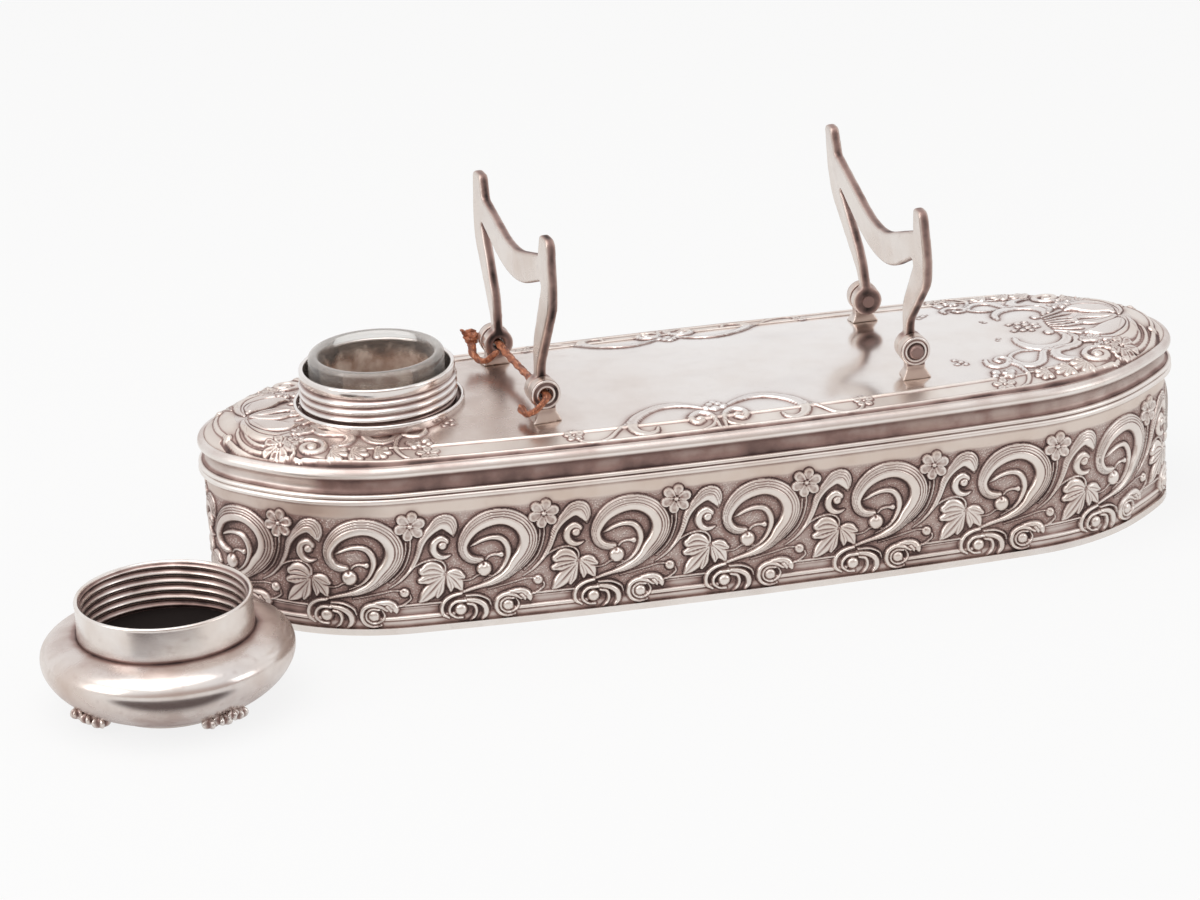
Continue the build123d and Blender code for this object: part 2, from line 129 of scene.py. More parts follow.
class Graph:
    """Node tree of one material or of the world."""

    def __init__(self, tree: bpy.types.NodeTree) -> None:
        """Empty the tree."""
        self.tree = tree
        tree.nodes.clear()

    def node(self, kind: str, settings: dict[str, Any], inputs: dict[Any, Any], output: Any = 0) -> Value:
        """Add a node.

        Args:
            kind: the node's type name.
            settings: its own properties, set first; "stops" are a ramp's places and colours.
            inputs: numbers, colours or Values by socket name or number.
            output: the socket to give back.

        Returns:
            The chosen output as a Value.
        """
        node = self.tree.nodes.new(kind)
        for key, value in settings.items():
            if key == "stops":
                self._stops(node.color_ramp, value)
            else:
                setattr(node, key, value)
        for key, value in inputs.items():
            if isinstance(value, Value):
                self.tree.links.new(value.socket, node.inputs[key])
            else:
                node.inputs[key].default_value = value
        outputs = node.outputs
        return Value(self, outputs[output]) if len(outputs) else Value(self, node)

    @staticmethod
    def _stops(ramp: bpy.types.ColorRamp, stops: Sequence[tuple[float, tuple[float, ...]]]) -> None:
        """Set a ramp's stops."""
        while len(ramp.elements) < len(stops):
            ramp.elements.new(0.5)
        for element, (place, colour) in zip(ramp.elements, stops):
            element.position = place
            element.color = colour

    def mix(self, factor: Any, first: Any, second: Any) -> Value:
        """Mix two colours."""
        return self.node("ShaderNodeMix", {"data_type": "RGBA"}, {0: factor, 6: first, 7: second}, 2)

    def place(self, scale: Triple = (1.0, 1.0, 1.0)) -> Value:
        """Object coordinates, stretched by scale."""
        where = self.node("ShaderNodeTexCoord", {}, {}, "Object")
        return self.node("ShaderNodeMapping", {}, {"Vector": where, "Scale": scale})

    def axes(self, space: str = "Object") -> list[Value]:
        """The three coordinates of the shaded point in one of the texture spaces."""
        where = self.node("ShaderNodeTexCoord", {}, {}, space)
        split = self.node("ShaderNodeSeparateXYZ", {}, {0: where}).socket.node
        return [Value(self, axis) for axis in split.outputs]

    def rays(self, *kinds: str) -> list[Value]:
        """One value for each kind of ray, 1 where the ray is of that kind."""
        path = self.tree.nodes.new("ShaderNodeLightPath")
        return [Value(self, path.outputs[f"Is {kind} Ray"]) for kind in kinds]

    def noise(self, scale: float, detail: float = 3.0, stretch: Triple = (1, 1, 1)) -> Value:
        """Cloudy noise on Object coordinates, with scale in waves per metre."""
        inputs = {"Vector": self.place(stretch), "Scale": scale, "Detail": detail}
        return self.node("ShaderNodeTexNoise", {}, inputs, 0)

    def attribute(self, name: str) -> Value:
        """A value kept on the mesh."""
        return self.node("ShaderNodeAttribute", {"attribute_name": name}, {}, "Fac")

    def bump(self, height: Value, distance: float, normal: Value | None = None) -> Value:
        """Bump whose height 0 to 1 stands for distance in metres, laid over another normal if given."""
        inputs: dict[Any, Any] = {"Strength": 1.0, "Distance": distance, "Height": height}
        if normal is not None:
            inputs["Normal"] = normal
        return self.node("ShaderNodeBump", {}, inputs)

    def principled(self, **inputs: Any) -> Value:
        """Principled shader, with spaces for the underscores of its inputs' names."""
        named = {key.replace("_", " "): value for key, value in inputs.items()}
        return self.node("ShaderNodeBsdfPrincipled", {}, named)

    def blend(self, factor: Any, first: Value, second: Value) -> Value:
        """Mix two shaders."""
        return self.node("ShaderNodeMixShader", {}, {0: factor, 1: first, 2: second})

    def surface(self, shader: Value, kind: str = "ShaderNodeOutputMaterial") -> None:
        """End the tree at its output node."""
        self.node(kind, {}, {"Surface": shader})


def new_material(name: str) -> tuple[bpy.types.Material, Graph]:
    """Make an empty node material and its graph."""
    material = bpy.data.materials.new(name)
    material.use_nodes = True
    return material, Graph(material.node_tree)


@dataclass(frozen=True)
class Silver:
    """Silver tarnished in its recesses, and on some pieces darkened there with painted shade; clouds of film,
    fine scratches and shallow dents.

    Attributes:
        name: material name, the record's slot.
        colour: bright metal.
        film: thin warm film on the flats.
        tarnish_and_shade: dark deposit, also the colour of painted shade.
        brown: tone halfway into the deposit and its painted shade.
        cool: greyer clouds in the bright metal.
        gloss: roughness of bright metal.
        clouds: how much film there is, 0 to 1.
        wear: how much the recess attribute darkens.
        dark: tarnished everywhere, 0 to 1.
        scratches: depth of the fine scratches in metres.
        dents: depth of the shallow dents in metres.
        grain: depth of the punched ground in metres.
        family: the record's slot, where it isn't the name.
    """

    name: str
    colour: Colour = (0.885, 0.84, 0.80, 1.0)
    film: Colour = (0.655, 0.53, 0.45, 1.0)
    tarnish_and_shade: Colour = (0.085, 0.052, 0.048, 1.0)
    brown: Colour = (0.34, 0.225, 0.20, 1.0)
    cool: Colour = (0.47, 0.43, 0.45, 1.0)
    gloss: float = 0.2
    clouds: float = 0.35
    wear: float = 1.0
    dark: float = 0.0
    scratches: float = 0.000006
    dents: float = 0.00004
    grain: float = 0.0
    family: str = ""

    @property
    def slot(self) -> str:
        """The record's material slot."""
        return self.family or self.name

    def build(self) -> bpy.types.Material:
        """Make the material."""
        material, g = new_material(self.name)
        recess = g.attribute("recess")
        warm = g.attribute("warm")
        cloud = g.noise(38.0, 5.0).above(0.42, 0.72)
        speck = g.noise(420.0, 4.0).above(0.56, 0.78)
        patch = g.noise(120.0, 6.0).above(0.35, 0.75)
        film = ((cloud * 0.7 + patch * 0.45) * self.clouds + warm).clamp()
        # How far towards the dark colour: tarnish, and painted shade on pieces whose recess attribute carries
        # it
        deep = (recess * self.wear * (0.66 + 0.58 * patch) + speck * 0.10 * self.clouds + self.dark).clamp()
        if self.grain:
            ground = g.attribute("ground")
            dots = g.node(
                "ShaderNodeTexVoronoi", {"feature": "F1"}, {"Vector": g.place(), "Scale": 1900.0}, "Distance"
            )
            pits = dots.above(0.15, 0.6) * ground
            deep = (deep + pits * 0.22 + ground * 0.10).clamp()
        cool = g.noise(55.0, 4.0, (0.6, 1.0, 1.3)).above(0.50, 0.75)
        metal = g.mix(cool * 0.5 * self.clouds, self.colour, self.cool)
        shaded = g.mix((deep * 2.0).clamp(), g.mix(film, metal, self.film), self.brown)
        colour = g.mix((deep * 2.0 - 1.0).clamp(), shaded, self.tarnish_and_shade)
        rough = (self.gloss + film * 0.12 + deep * 0.38).clamp()
        lines = g.noise(900.0, 2.0, (0.06, 1.0, 1.0)) * 0.5 + g.noise(700.0, 2.0, (1.0, 0.05, 0.4)) * 0.5
        normal = g.bump(lines, self.scratches)
        if self.dents:
            normal = g.bump(g.noise(70.0, 2.0), self.dents, normal=normal)
        if self.grain:
            normal = g.bump(1.0 - pits, self.grain, normal=normal)
        metallic = 1.0 - deep * 0.45
        g.surface(g.principled(Base_Color=colour, Roughness=rough, Metallic=metallic, Normal=normal))
        return material


@dataclass(frozen=True)
class Leather:
    """Leather with creases, pale scuffs and a dull sheen.

    Attributes:
        name: material name, the record's slot.
        colour: main colour.
        pale: colour of its raised fibres.
        deep: colour of its creases.
        shine: roughness.
    """

    name: str
    colour: Colour
    pale: Colour
    deep: Colour
    shine: float = 0.5

    @property
    def slot(self) -> str:
        """The record's material slot."""
        return self.name

    def build(self) -> bpy.types.Material:
        """Make the material."""
        material, g = new_material(self.name)
        crease = g.noise(900.0, 5.0, (1.0, 0.35, 1.0))
        fibre = g.noise(2600.0, 3.0, (1.0, 0.2, 0.6))
        colour = g.mix(crease.above(0.35, 0.6), self.deep, self.colour)
        colour = g.mix(fibre.above(0.5, 0.75), colour, self.pale)
        normal = g.bump(crease * 0.7 + fibre * 0.3, 0.00022)
        rough = (self.shine + fibre * 0.2).clamp()
        g.surface(g.principled(Base_Color=colour, Roughness=rough, Normal=normal))
        return material


@dataclass(frozen=True)
class ClearGlass:
    """Thick old glass: clear when faced, with painted grey shade towards its edges and on its rim, and a
    sheen by its angle.

    Attributes:
        name: material name.
        colour: tint of its body.
        pale: lighter swirls in the body.
        rim: heights between which the rim's painted grey shade sets in, in metres.
        slot: the record's slot; not used.
    """

    name: str = "well_glass"
    colour: Colour = (0.74, 0.69, 0.655, 1.0)
    pale: Colour = (0.88, 0.84, 0.81, 1.0)
    rim: tuple[float, float] = (0.0574, 0.0582)
    slot: str = "well_glass"

    def build(self) -> bpy.types.Material:
        """Make the material."""
        material, g = new_material(self.name)
        swirl = g.noise(160.0, 2.0)
        normal = g.bump(swirl, 0.00004)
        facing = g.node("ShaderNodeLayerWeight", {}, {"Blend": 0.42, "Normal": normal}, "Facing")
        fresnel = g.node("ShaderNodeFresnel", {}, {"IOR": 1.5, "Normal": normal})
        clear = g.node("ShaderNodeBsdfTransparent", {}, {"Color": (0.93, 0.925, 0.915, 1.0)})
        tint = g.mix(swirl.above(0.3, 0.8), self.colour, self.pale)
        body = g.node("ShaderNodeBsdfDiffuse", {}, {"Color": tint})
        gloss = {"Color": (1.0, 1.0, 1.0, 1.0), "Roughness": 0.06, "Normal": normal}
        sheen = g.node("ShaderNodeBsdfGlossy", {}, gloss)
        # Painted shade: a grey diffuse mixed in by the viewing angle and above the rim's height
        grey = (facing * facing * 0.5 + 0.04 + g.axes()[2].above(*self.rim) * 0.22).clamp()
        shining = g.blend(fresnel * 0.7, g.blend(grey, clear, body), sheen)
        shadow, diffuse = g.rays("Shadow", "Diffuse")
        g.surface(g.blend((shadow + diffuse).clamp(), shining, clear))
        return material


@dataclass(frozen=True)
class DriedInk:
    """Brown film of old ink on the inside of the glass, thin near the mouth and patchy.

    Attributes:
        name: material name.
        deep: colour where the film is thick.
        pale: colour where it is thin.
        top: height where it fades out, in metres.
        slot: none, because the film is part of the glass; not used.
    """

    name: str = "dried_ink"
    deep: Colour = (0.50, 0.335, 0.26, 1.0)
    pale: Colour = (0.76, 0.63, 0.54, 1.0)
    top: float = 0.0555
    slot: str = ""

    def build(self) -> bpy.types.Material:
        """Make the material."""
        material, g = new_material(self.name)
        stain = g.noise(260.0, 5.0)
        edge = (self.top - g.axes()[2] + (stain - 0.5) * 0.006).above(0.0, 0.004)
        alpha = (edge * (0.55 + 0.5 * stain)).clamp()
        colour = g.mix(stain.above(0.35, 0.7), self.deep, self.pale)
        g.surface(g.principled(Base_Color=colour, Roughness=0.5, Alpha=alpha))
        return material


BLACK: Colour = (0.030, 0.018, 0.016, 1.0)
SOOT: Colour = (0.012, 0.007, 0.006, 1.0)
SHINY = "silver_polished"
CHASED = Silver("silver_chased", gloss=0.26, grain=0.00012, dents=0.00003)
POLISHED = Silver(SHINY, (0.84, 0.80, 0.775, 1.0), gloss=0.15, clouds=0.25, dents=0.00005)
MOULDED = Silver("silver_mouldings", gloss=0.30, wear=1.1, dents=0.00005, family=SHINY)
CAPPED = Silver("silver_cap", gloss=0.17, clouds=0.75, dark=0.04, dents=0.00010, family=SHINY)
WORN = Silver("silver_worn", tarnish_and_shade=BLACK, clouds=0.5, wear=1.15, dark=0.02, dents=0.00016)
TARNISHED = Silver("silver_tarnished", gloss=0.35, clouds=0.8, dark=0.45)
PINNED = Silver("silver_pins", gloss=0.12, clouds=0.7, dark=0.62, dents=0.0, family=SHINY)
BLACKENED = Silver(
    "silver_blackened", tarnish_and_shade=SOOT, gloss=0.5, dark=1.0, dents=0.0, family="silver_tarnished"
)
DARK_LEATHER = Leather(
    "dark_leather", (0.035, 0.022, 0.016, 1), (0.10, 0.07, 0.05, 1), (0.012, 0.008, 0.006, 1), 0.6
)
THONG_LEATHER = Leather(
    "thong_leather", (0.40, 0.13, 0.058, 1), (0.72, 0.32, 0.18, 1), (0.16, 0.045, 0.022, 1), 0.42
)
GLASS = ClearGlass()
INK = DriedInk()


class Workshop:
    """Makes the objects, and keeps one material of each finish."""

    def __init__(self) -> None:
        """Start with no materials."""
        self.materials: dict[str, bpy.types.Material] = {}

    def finish(self, finish: Any) -> bpy.types.Material:
        """Give the material of a finish, made once."""
        if finish.name not in self.materials:
            self.materials[finish.name] = finish.build()
        return self.materials[finish.name]

    def mesh(
        self,
        name: str,
        points: Array,
        faces: Array,
        body: Body,
        finish: Any,
        replaces: Sequence[str] = (),
        **values: Array,
    ) -> None:
        """Make a piece from its points and faces.

        Args:
            name: the piece's name.
            points: places in millimetres, in any grid of threes.
            faces: m by 4 or m by 3 point numbers.
            body: the body that it moves with.
            finish: its finish.
            replaces: CAD nodes that it stands for.
            **values: values kept on the points for the material, such as recess.
        """
        mesh = bpy.data.meshes.new(name)
        points = points.reshape(-1, 3)
        count, corners = faces.shape
        mesh.vertices.add(len(points))
        mesh.vertices.foreach_set("co", (points * MM).astype(np.float32).ravel())
        mesh.loops.add(count * corners)
        mesh.loops.foreach_set("vertex_index", faces.astype(np.int32).ravel())
        mesh.polygons.add(count)
        mesh.polygons.foreach_set("loop_start", np.arange(count, dtype=np.int32) * corners)
        mesh.polygons.foreach_set("loop_total", np.full(count, corners, dtype=np.int32))
        mesh.polygons.foreach_set("use_smooth", np.ones(count, dtype=bool))
        for key, value in values.items():
            layer = mesh.attributes.new(key, "FLOAT", "POINT")
            layer.data.foreach_set("value", np.ascontiguousarray(value, dtype=np.float32).ravel())
        mesh.update(calc_edges=True)
        mesh.validate()
        mesh.materials.append(self.finish(finish))
        piece = bpy.data.objects.new(name, mesh)
        bpy.context.scene.collection.objects.link(piece)
        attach(piece, body.value)
        if replaces:
            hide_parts(*replaces)
        LOG.info("%s: %d faces on %s", name, count, body.value)

    def dress(self, finish: Any, *nodes: str) -> None:
        """Give CAD nodes that stay in view their finish."""
        material = self.finish(finish)
        for node in nodes:
            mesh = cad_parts[node].data
            mesh.materials.clear()
            mesh.materials.append(material)
            LOG.info("%s dressed in %s", node, finish.name)


def grid_faces(rows: int, cols: int, around_rows: bool = False, around_cols: bool = False) -> Array:
    """Quads of a grid whose point (i, j) has the number i * cols + j.

    Args:
        rows: number of rows.
        cols: number of points in a row.
        around_rows: join the last row to the first.
        around_cols: join the last column to the first.

    Returns:
        m by 4 point numbers, turning from j to i.
    """
    i = np.arange(rows if around_rows else rows - 1)
    j = np.arange(cols if around_cols else cols - 1)
    a, b = np.meshgrid(i, j, indexing="ij")
    c, d = (a + 1) % rows, (b + 1) % cols
    return np.stack([a * cols + b, a * cols + d, c * cols + d, c * cols + b], -1).reshape(-1, 4)


def smooth_line(points: Array, step: float) -> Array:
    """Cubic through points, by chord length, each slope taken between its neighbours.

    Args:
        points: n places with one further value, such as a half-width; four columns are a place in space.
        step: distance between samples.

    Returns:
        Samples along the line, with the same columns.
    """
    spatial = 3 if points.shape[1] > 3 else 2
    gaps = np.linalg.norm(np.diff(points[:, :spatial], axis=0), axis=1) + 1e-6
    t = np.concatenate([[0.0], np.cumsum(gaps)])
    slopes = np.empty_like(points)
    slopes[0] = (points[1] - points[0]) / gaps[0]
    slopes[-1] = (points[-1] - points[-2]) / gaps[-1]
    slopes[1:-1] = (points[2:] - points[:-2]) / (t[2:] - t[:-2])[:, None]
    at = np.linspace(0.0, t[-1], max(8, int(t[-1] / step)))
    k = np.clip(np.searchsorted(t, at, side="right") - 1, 0, len(gaps) - 1)
    h = gaps[k][:, None]
    u = ((at - t[k]) / gaps[k])[:, None]
    return (
        (2 * u**3 - 3 * u**2 + 1) * points[k]
        + (u**3 - 2 * u**2 + u) * h * slopes[k]
        + (3 * u**2 - 2 * u**3) * points[k + 1]
        + (u**3 - u**2) * h * slopes[k + 1]
    )


def read(items: Any, key: str, width: int, kind: type) -> Array:
    """Read a property of a mesh's items, width numbers to a row."""
    values = np.empty(len(items) * width, dtype=kind)
    items.foreach_get(key, values)
    return values.reshape(-1, width)


def blurred(field: Array, cells: float) -> Array:
    """Field smoothed by a bell curve of that many cells, in the frequency domain, edges wrapped."""
    rows, cols = field.shape
    fy = np.fft.fftfreq(rows)[:, None]
    fx = np.fft.rfftfreq(cols)[None, :]
    bell = np.exp(-2.0 * (math.pi * cells) ** 2 * (fx**2 + fy**2))
    return np.fft.irfft2(np.fft.rfft2(field) * bell, s=field.shape)


class Relief:
    """Height field in millimetres on a flat sheet, worked like chased metal, each form over the last."""

    def __init__(
        self, low: tuple[float, float], high: tuple[float, float], cell: float, wrap: bool = False
    ) -> None:
        """Make a flat field.

        Args:
            low: lower left corner.
            high: upper right corner.
            cell: size of a cell.
            wrap: whether the field repeats in x.
        """
        self.low = low
        self.cell = cell
        self.wrap = wrap
        self.cols = round((high[0] - low[0]) / cell)
        self.rows = round((high[1] - low[1]) / cell)
        self.height = np.zeros((self.rows, self.cols))
        self.ground = np.zeros((self.rows, self.cols))

    def _window(self, x0: float, x1: float, y0: float, y1: float) -> tuple[Array, Array, Array, Array]:
        """Rows and columns that cover a rectangle, and the places of their middles.

        Args:
            x0: left side.
            x1: right side.
            y0: lower side.
            y1: upper side.

        Returns:
            Row numbers, column numbers, the columns' x and the rows' y.
        """
        c, r = (
            np.arange(math.floor((a - low) / self.cell), math.ceil((b - low) / self.cell) + 1)
            for a, b, low in ((x0, x1, self.low[0]), (y0, y1, self.low[1]))
        )
        r = r[(r >= 0) & (r < self.rows)]
        if not self.wrap:
            c = c[(c >= 0) & (c < self.cols)]
        x = self.low[0] + (c + 0.5) * self.cell
        y = self.low[1] + (r + 0.5) * self.cell
        return r, c % self.cols, x, y

    def _lay(self, r: Array, c: Array, outside: Array, rise: Array, groove: float) -> None:
        """Lay a form over the field: its rise inside, a thin gutter just outside its edge.

        Args:
            r: rows of the window.
            c: columns of the window.
            outside: distance out from the form's edge, negative within.
            rise: the form's height.
            groove: depth of the gutter.
        """
        window = np.ix_(r, c)
        under = self.height[window]
        cover = np.clip(0.5 - outside / self.cell, 0.0, 1.0)
        gutter = np.clip(1.0 - np.abs(outside - 0.1) / 0.26, 0.0, 1.0) * groove
        self.height[window] = (under - gutter) * (1 - cover) + (0.35 * np.maximum(under, 0) + rise) * cover
        self.ground[window] *= 1 - np.clip(0.5 - (outside - 0.1) / self.cell, 0.0, 1.0)

    def stroke(
        self, points: Points, height: float, ridge: Ridge = Ridge.ROUND,
        groove: float = 0.10, turn: int = 1,
    ) -> None:
        """Lay a tapering stroke along a smooth line.

        Args:
            points: x, y and half-width of each of its points.
            height: its highest rise.
            ridge: its cross-section.
            groove: depth of the gutter round it.
            turn: 1 where the right of its direction is its outer side, otherwise -1.
        """
        self.union([points], height, ridge, groove, turn)

    def union(
        self, strokes: Sequence[Points], height: float,
        ridge: Ridge = Ridge.ROUND, groove: float = 0.10, turn: int = 1,
    ) -> None:
        """Lay several strokes as one form, such as a leaf's lobes: the highest of their rises everywhere.

        Args:
            strokes: points of each stroke.
            height: highest rise.
            ridge: cross-section of each.
            groove: depth of the gutter round the whole form.
            turn: as for a stroke.
        """
        lines = [smooth_line(np.array(points, float), self.cell * 1.3) for points in strokes]
        every = np.concatenate(lines)
        pad = every[:, 2].max() + 0.6
        (x0, y0), (x1, y1) = every[:, :2].min(0) - pad, every[:, :2].max(0) + pad
        r, c, x, y = self._window(x0, x1, y0, y1)
        if not len(r) or not len(c):
            return
        outside = np.full((len(r), len(c)), 1e9)
        rise = np.full(outside.shape, -1e9 if height > 0 else 1e9)
        for line in lines:
            out, up = self._form(line, x, y, height, ridge, turn)
            up = np.where(out > 0, 0.0, up)
            rise = np.maximum(rise, up) if height > 0 else np.minimum(rise, up)
            outside = np.minimum(outside, out)
        self._lay(r, c, outside, rise, groove)

    def _form(
        self, line: Array, x: Array, y: Array, height: float, ridge: Ridge, turn: int
    ) -> tuple[Array, Array]:
        """Measure one stroke over a window.

        Args:
            line: samples of x, y and half-width.
            x: places of the window's columns.
            y: places of its rows.
            height: highest rise.
            ridge: cross-section.
            turn: 1 where the right of its direction is its outer side, otherwise -1.

        Returns:
            Distance outside the stroke, and its rise.
        """
        line[:, 2] = np.maximum(line[:, 2], 0.02)
        best = np.full((len(y), len(x)), 1e9)
        which = np.zeros(best.shape, int)
        for k, (px, py) in enumerate(line[:, :2]):
            far = (x - px)[None, :] ** 2 + (y - py)[:, None] ** 2
            near = far < best
            best[near] = far[near]
            which[near] = k
        width = line[:, 2][which]
        away = np.sqrt(best)
        tangent = np.gradient(line[:, :2], axis=0)
        tangent /= np.linalg.norm(tangent, axis=1)[:, None] + 1e-9
        dx = x[None, :] - line[:, 0][which]
        dy = y[:, None] - line[:, 1][which]
        side = tangent[:, 0][which] * dy - tangent[:, 1][which] * dx
        q = np.clip(away / width, 0.0, 1.0)
        slim = np.clip(width / (0.35 * line[:, 2].max() + 0.05), 0.3, 1.0)
        return away - width, height * slim * self._section(ridge, q, -turn * np.sign(side) * q)

    @staticmethod
    def _section(ridge: Ridge, q: Array, v: Array) -> Array:
        """Height over a stroke, 0 to 1.

        Args:
            ridge: cross-section.
            q: distance from the middle line, 1 at the edge.
            v: the same, positive on the outer side.

        Returns:
            The share of the highest rise.
        """
        dome = np.sqrt(np.clip(1 - q**2, 0, 1))
        if ridge is Ridge.FLAT:
            return np.sqrt(np.clip(1 - q**4, 0, 1))
        if ridge is Ridge.RIBBON:
            return np.sqrt(np.clip(1 - q**6, 0, 1)) * (0.66 + 0.34 * q**2)
        if ridge is Ridge.CUP:
            return np.sqrt(np.clip(1 - q**8, 0, 1)) * (0.38 + 0.62 * q**2.5)
        if ridge is Ridge.LEAF:
            return dome * (1 - 0.35 * np.exp(-((q / 0.14) ** 2)))
        if ridge is Ridge.PLUME:
            cuts = sum(np.exp(-(((v - place) / 0.075) ** 2)) for place in (0.08, 0.40, 0.70))
            swell = np.sqrt(np.clip(1 - np.abs(v) ** 3, 0, 1)) * (0.86 - 0.16 * v)
            return np.clip(swell - 0.30 * cuts, 0, 1)
        return dome

    def ball(self, x: float, y: float, radius: float, height: float, groove: float = 0.12) -> None:
        """Lay a round boss, a half ball flattened to the height.

        Args:
            x: its middle.
            y: its middle.
            radius: its radius.
            height: its highest rise.
            groove: depth of the gutter round it.
        """
        r, c, gx, gy = self._window(x - radius - 0.6, x + radius + 0.6, y - radius - 0.6, y + radius + 0.6)
        if not len(r) or not len(c):
            return
        away = np.hypot((gx - x)[None, :], (gy - y)[:, None])
        rise = height * np.sqrt(np.clip(1 - (away / radius) ** 2, 0, 1))
        self._lay(r, c, away - radius, rise, groove)

    def pit(self, x: float, y: float, radius: float, depth: float) -> None:
        """Sink a small round hollow.

        Args:
            x: its middle.
            y: its middle.
            radius: where it has nearly run out.
            depth: how deep its bell curve is.
        """
        r, c, gx, gy = self._window(x - 2 * radius, x + 2 * radius, y - 2 * radius, y + 2 * radius)
        if len(r) and len(c):
            away = np.hypot((gx - x)[None, :], (gy - y)[:, None])
            self.height[np.ix_(r, c)] -= depth * np.exp(-((away / radius) ** 2) * 1.5)

    def flower(
        self, x: float, y: float, petals: int, reach: float, size: float, height: float, first: float = 90.0
    ) -> None:
        """Lay a flower: cupped round petals about a boss.

        Args:
            x: its middle.
            y: its middle.
            petals: how many petals.
            reach: distance of the petals' middles.
            size: radius of a petal.
            height: rise of the petals' rims.
            first: direction of one petal, in degrees.
        """
        for k in range(petals):
            angle = math.radians(first + 360.0 * k / petals)
            run = [(0.40 * reach, 0.42 * size), (0.75 * reach, 0.80 * size), (1.0 * reach, 0.98 * size),
                   (1.18 * reach, 0.98 * size)]
            petal = [(x + far * math.cos(angle), y + far * math.sin(angle), wide) for far, wide in run]
            self.stroke(petal, height, Ridge.CUP, 0.16)
        self.ball(x, y, size * 0.42, height * 0.9, 0.3)

    def recess(self) -> Array:
        """How far each place lies below its surroundings, 0 to 1: broad and fine hollows added."""
        tall = np.pad(self.height, ((24, 24), (0, 0)), mode="edge")
        broad = (blurred(tall, 0.95 / self.cell) - tall)[24:-24]
        fine = (blurred(tall, 0.24 / self.cell) - tall)[24:-24]
        return np.clip(np.clip(broad / 0.42, 0, 0.75) + np.clip(fine / 0.10, 0, 0.6), 0, 1)

    def sample(self, cells: Array, x: Array, y: Array) -> Array:
        """Read a field between its cells, linearly both ways.

        Args:
            cells: one value for each cell, such as the height.
            x: places.
            y: places.

        Returns:
            The values at the places.
        """
        u = (x - self.low[0]) / self.cell - 0.5
        v = np.clip((y - self.low[1]) / self.cell - 0.5, 0, self.rows - 1.001)
        if not self.wrap:
            u = np.clip(u, 0, self.cols - 1.001)
        j, i = np.floor(u).astype(int), np.floor(v).astype(int)
        fu, fv = u - j, v - i
        j0, j1 = j % self.cols, (j + 1) % self.cols
        low = cells[i, j0] * (1 - fu) + cells[i, j1] * fu
        high = cells[i + 1, j0] * (1 - fu) + cells[i + 1, j1] * fu
        return low * (1 - fv) + high * fv


@dataclass
class Plan:
    """Oval plan of the box: side, shoulder, end and tip arcs, joined smoothly, mirrored in both axes.

    Attributes:
        half_length: to the widest moulding.
        half_width: to the widest moulding.
        turns: headings in degrees where the arcs meet.
        shoulder_radius: radius of the shoulder arc.
        end_radius: radius of the end arc.
    """

    half_length: float = 120.0
    half_width: float = 38.3
    turns: tuple[float, ...] = (0.0, 4.2, 39.3, 47.8, 90.0)
    shoulder_radius: float = 50.8
    end_radius: float = 92.8

    @cached_property
    def radii(self) -> list[float]:
        """Radii of the four arcs; the first and last make the quarter end square on both axes."""
        _, h1, h2, h3, _ = (math.radians(a) for a in self.turns)
        s, e = self.shoulder_radius, self.end_radius
        along = self.half_length - s * (math.sin(h2) - math.sin(h1)) - e * (math.sin(h3) - math.sin(h2))
        across = self.half_width - s * (math.cos(h1) - math.cos(h2)) - e * (math.cos(h2) - math.cos(h3))
        det = math.sin(h1) * math.cos(h3) - (1 - math.sin(h3)) * (1 - math.cos(h1))
        side = (along * math.cos(h3) - (1 - math.sin(h3)) * across) / det
        return [side, s, e, (math.sin(h1) * across - (1 - math.cos(h1)) * along) / det]

    @cached_property
    def quarter(self) -> Array:
        """Columns s, x, y and heading along the front right quarter."""
        parts = []
        x, y, run = 0.0, -self.half_width, 0.0
        for radius, low, high in zip(self.radii, np.radians(self.turns), np.radians(self.turns[1:])):
            h = np.linspace(low, high, 900)
            px = x + radius * (np.sin(h) - math.sin(low))
            py = y - radius * (np.cos(h) - math.cos(low))
            parts.append(np.stack([run + radius * (h - low), px, py, h], 1)[1 if parts else 0 :])
            x, y, run = px[-1], py[-1], run + radius * (high - low)
        return np.concatenate(parts)

    @property
    def length(self) -> float:
        """Whole way round."""
        return 4.0 * float(self.quarter[-1, 0])

    @cached_property
    def loop(self) -> Array:
        """Columns s, x, y and heading once round, from the middle of the front towards +X."""
        q = self.quarter
        full, back = self.length / 4, q[::-1]
        return np.concatenate(
            [
                q,
                np.stack([2 * full - back[:, 0], back[:, 1], -back[:, 2], math.pi - back[:, 3]], 1)[1:],
                np.stack([2 * full + q[:, 0], -q[:, 1], -q[:, 2], math.pi + q[:, 3]], 1)[1:],
                np.stack([4 * full - back[:, 0], -back[:, 1], back[:, 2], 2 * math.pi - back[:, 3]], 1)[1:],
            ]
        )

    def at(self, s: Array, inset: Array | float) -> tuple[Array, Array]:
        """Find points round the plan.

        Args:
            s: length round from the middle of the front.
            inset: distance inwards along the normal.

        Returns:
            Their x and y.
        """
        s = np.mod(s, self.length)
        x, y, h = (np.interp(s, self.loop[:, 0], self.loop[:, k]) for k in (1, 2, 3))
        return x - inset * np.sin(h), y + inset * np.cos(h)

    def depth(self, x: Array, y: Array) -> Array:
        """Measure how far points lie inside the edge.

        Args:
            x: places.
            y: places.

        Returns:
            Their inset, or 40 where no arc's sector holds the point.
        """
        ax, ay = np.abs(x), -np.abs(y)
        out = np.full(np.shape(ax), 40.0)
        px, py = 0.0, -self.half_width
        for radius, low, high in zip(self.radii, np.radians(self.turns), np.radians(self.turns[1:])):
            cx, cy = px - radius * math.sin(low), py + radius * math.cos(low)
            heading = np.arctan2(ax - cx, cy - ay)
            inset = radius - np.hypot(ax - cx, ay - cy)
            held = (heading >= low - 0.002) & (heading <= high + 0.002)
            out = np.where(held, np.minimum(out, inset), out)
            px, py = cx + radius * math.sin(high), cy - radius * math.cos(high)
        return out


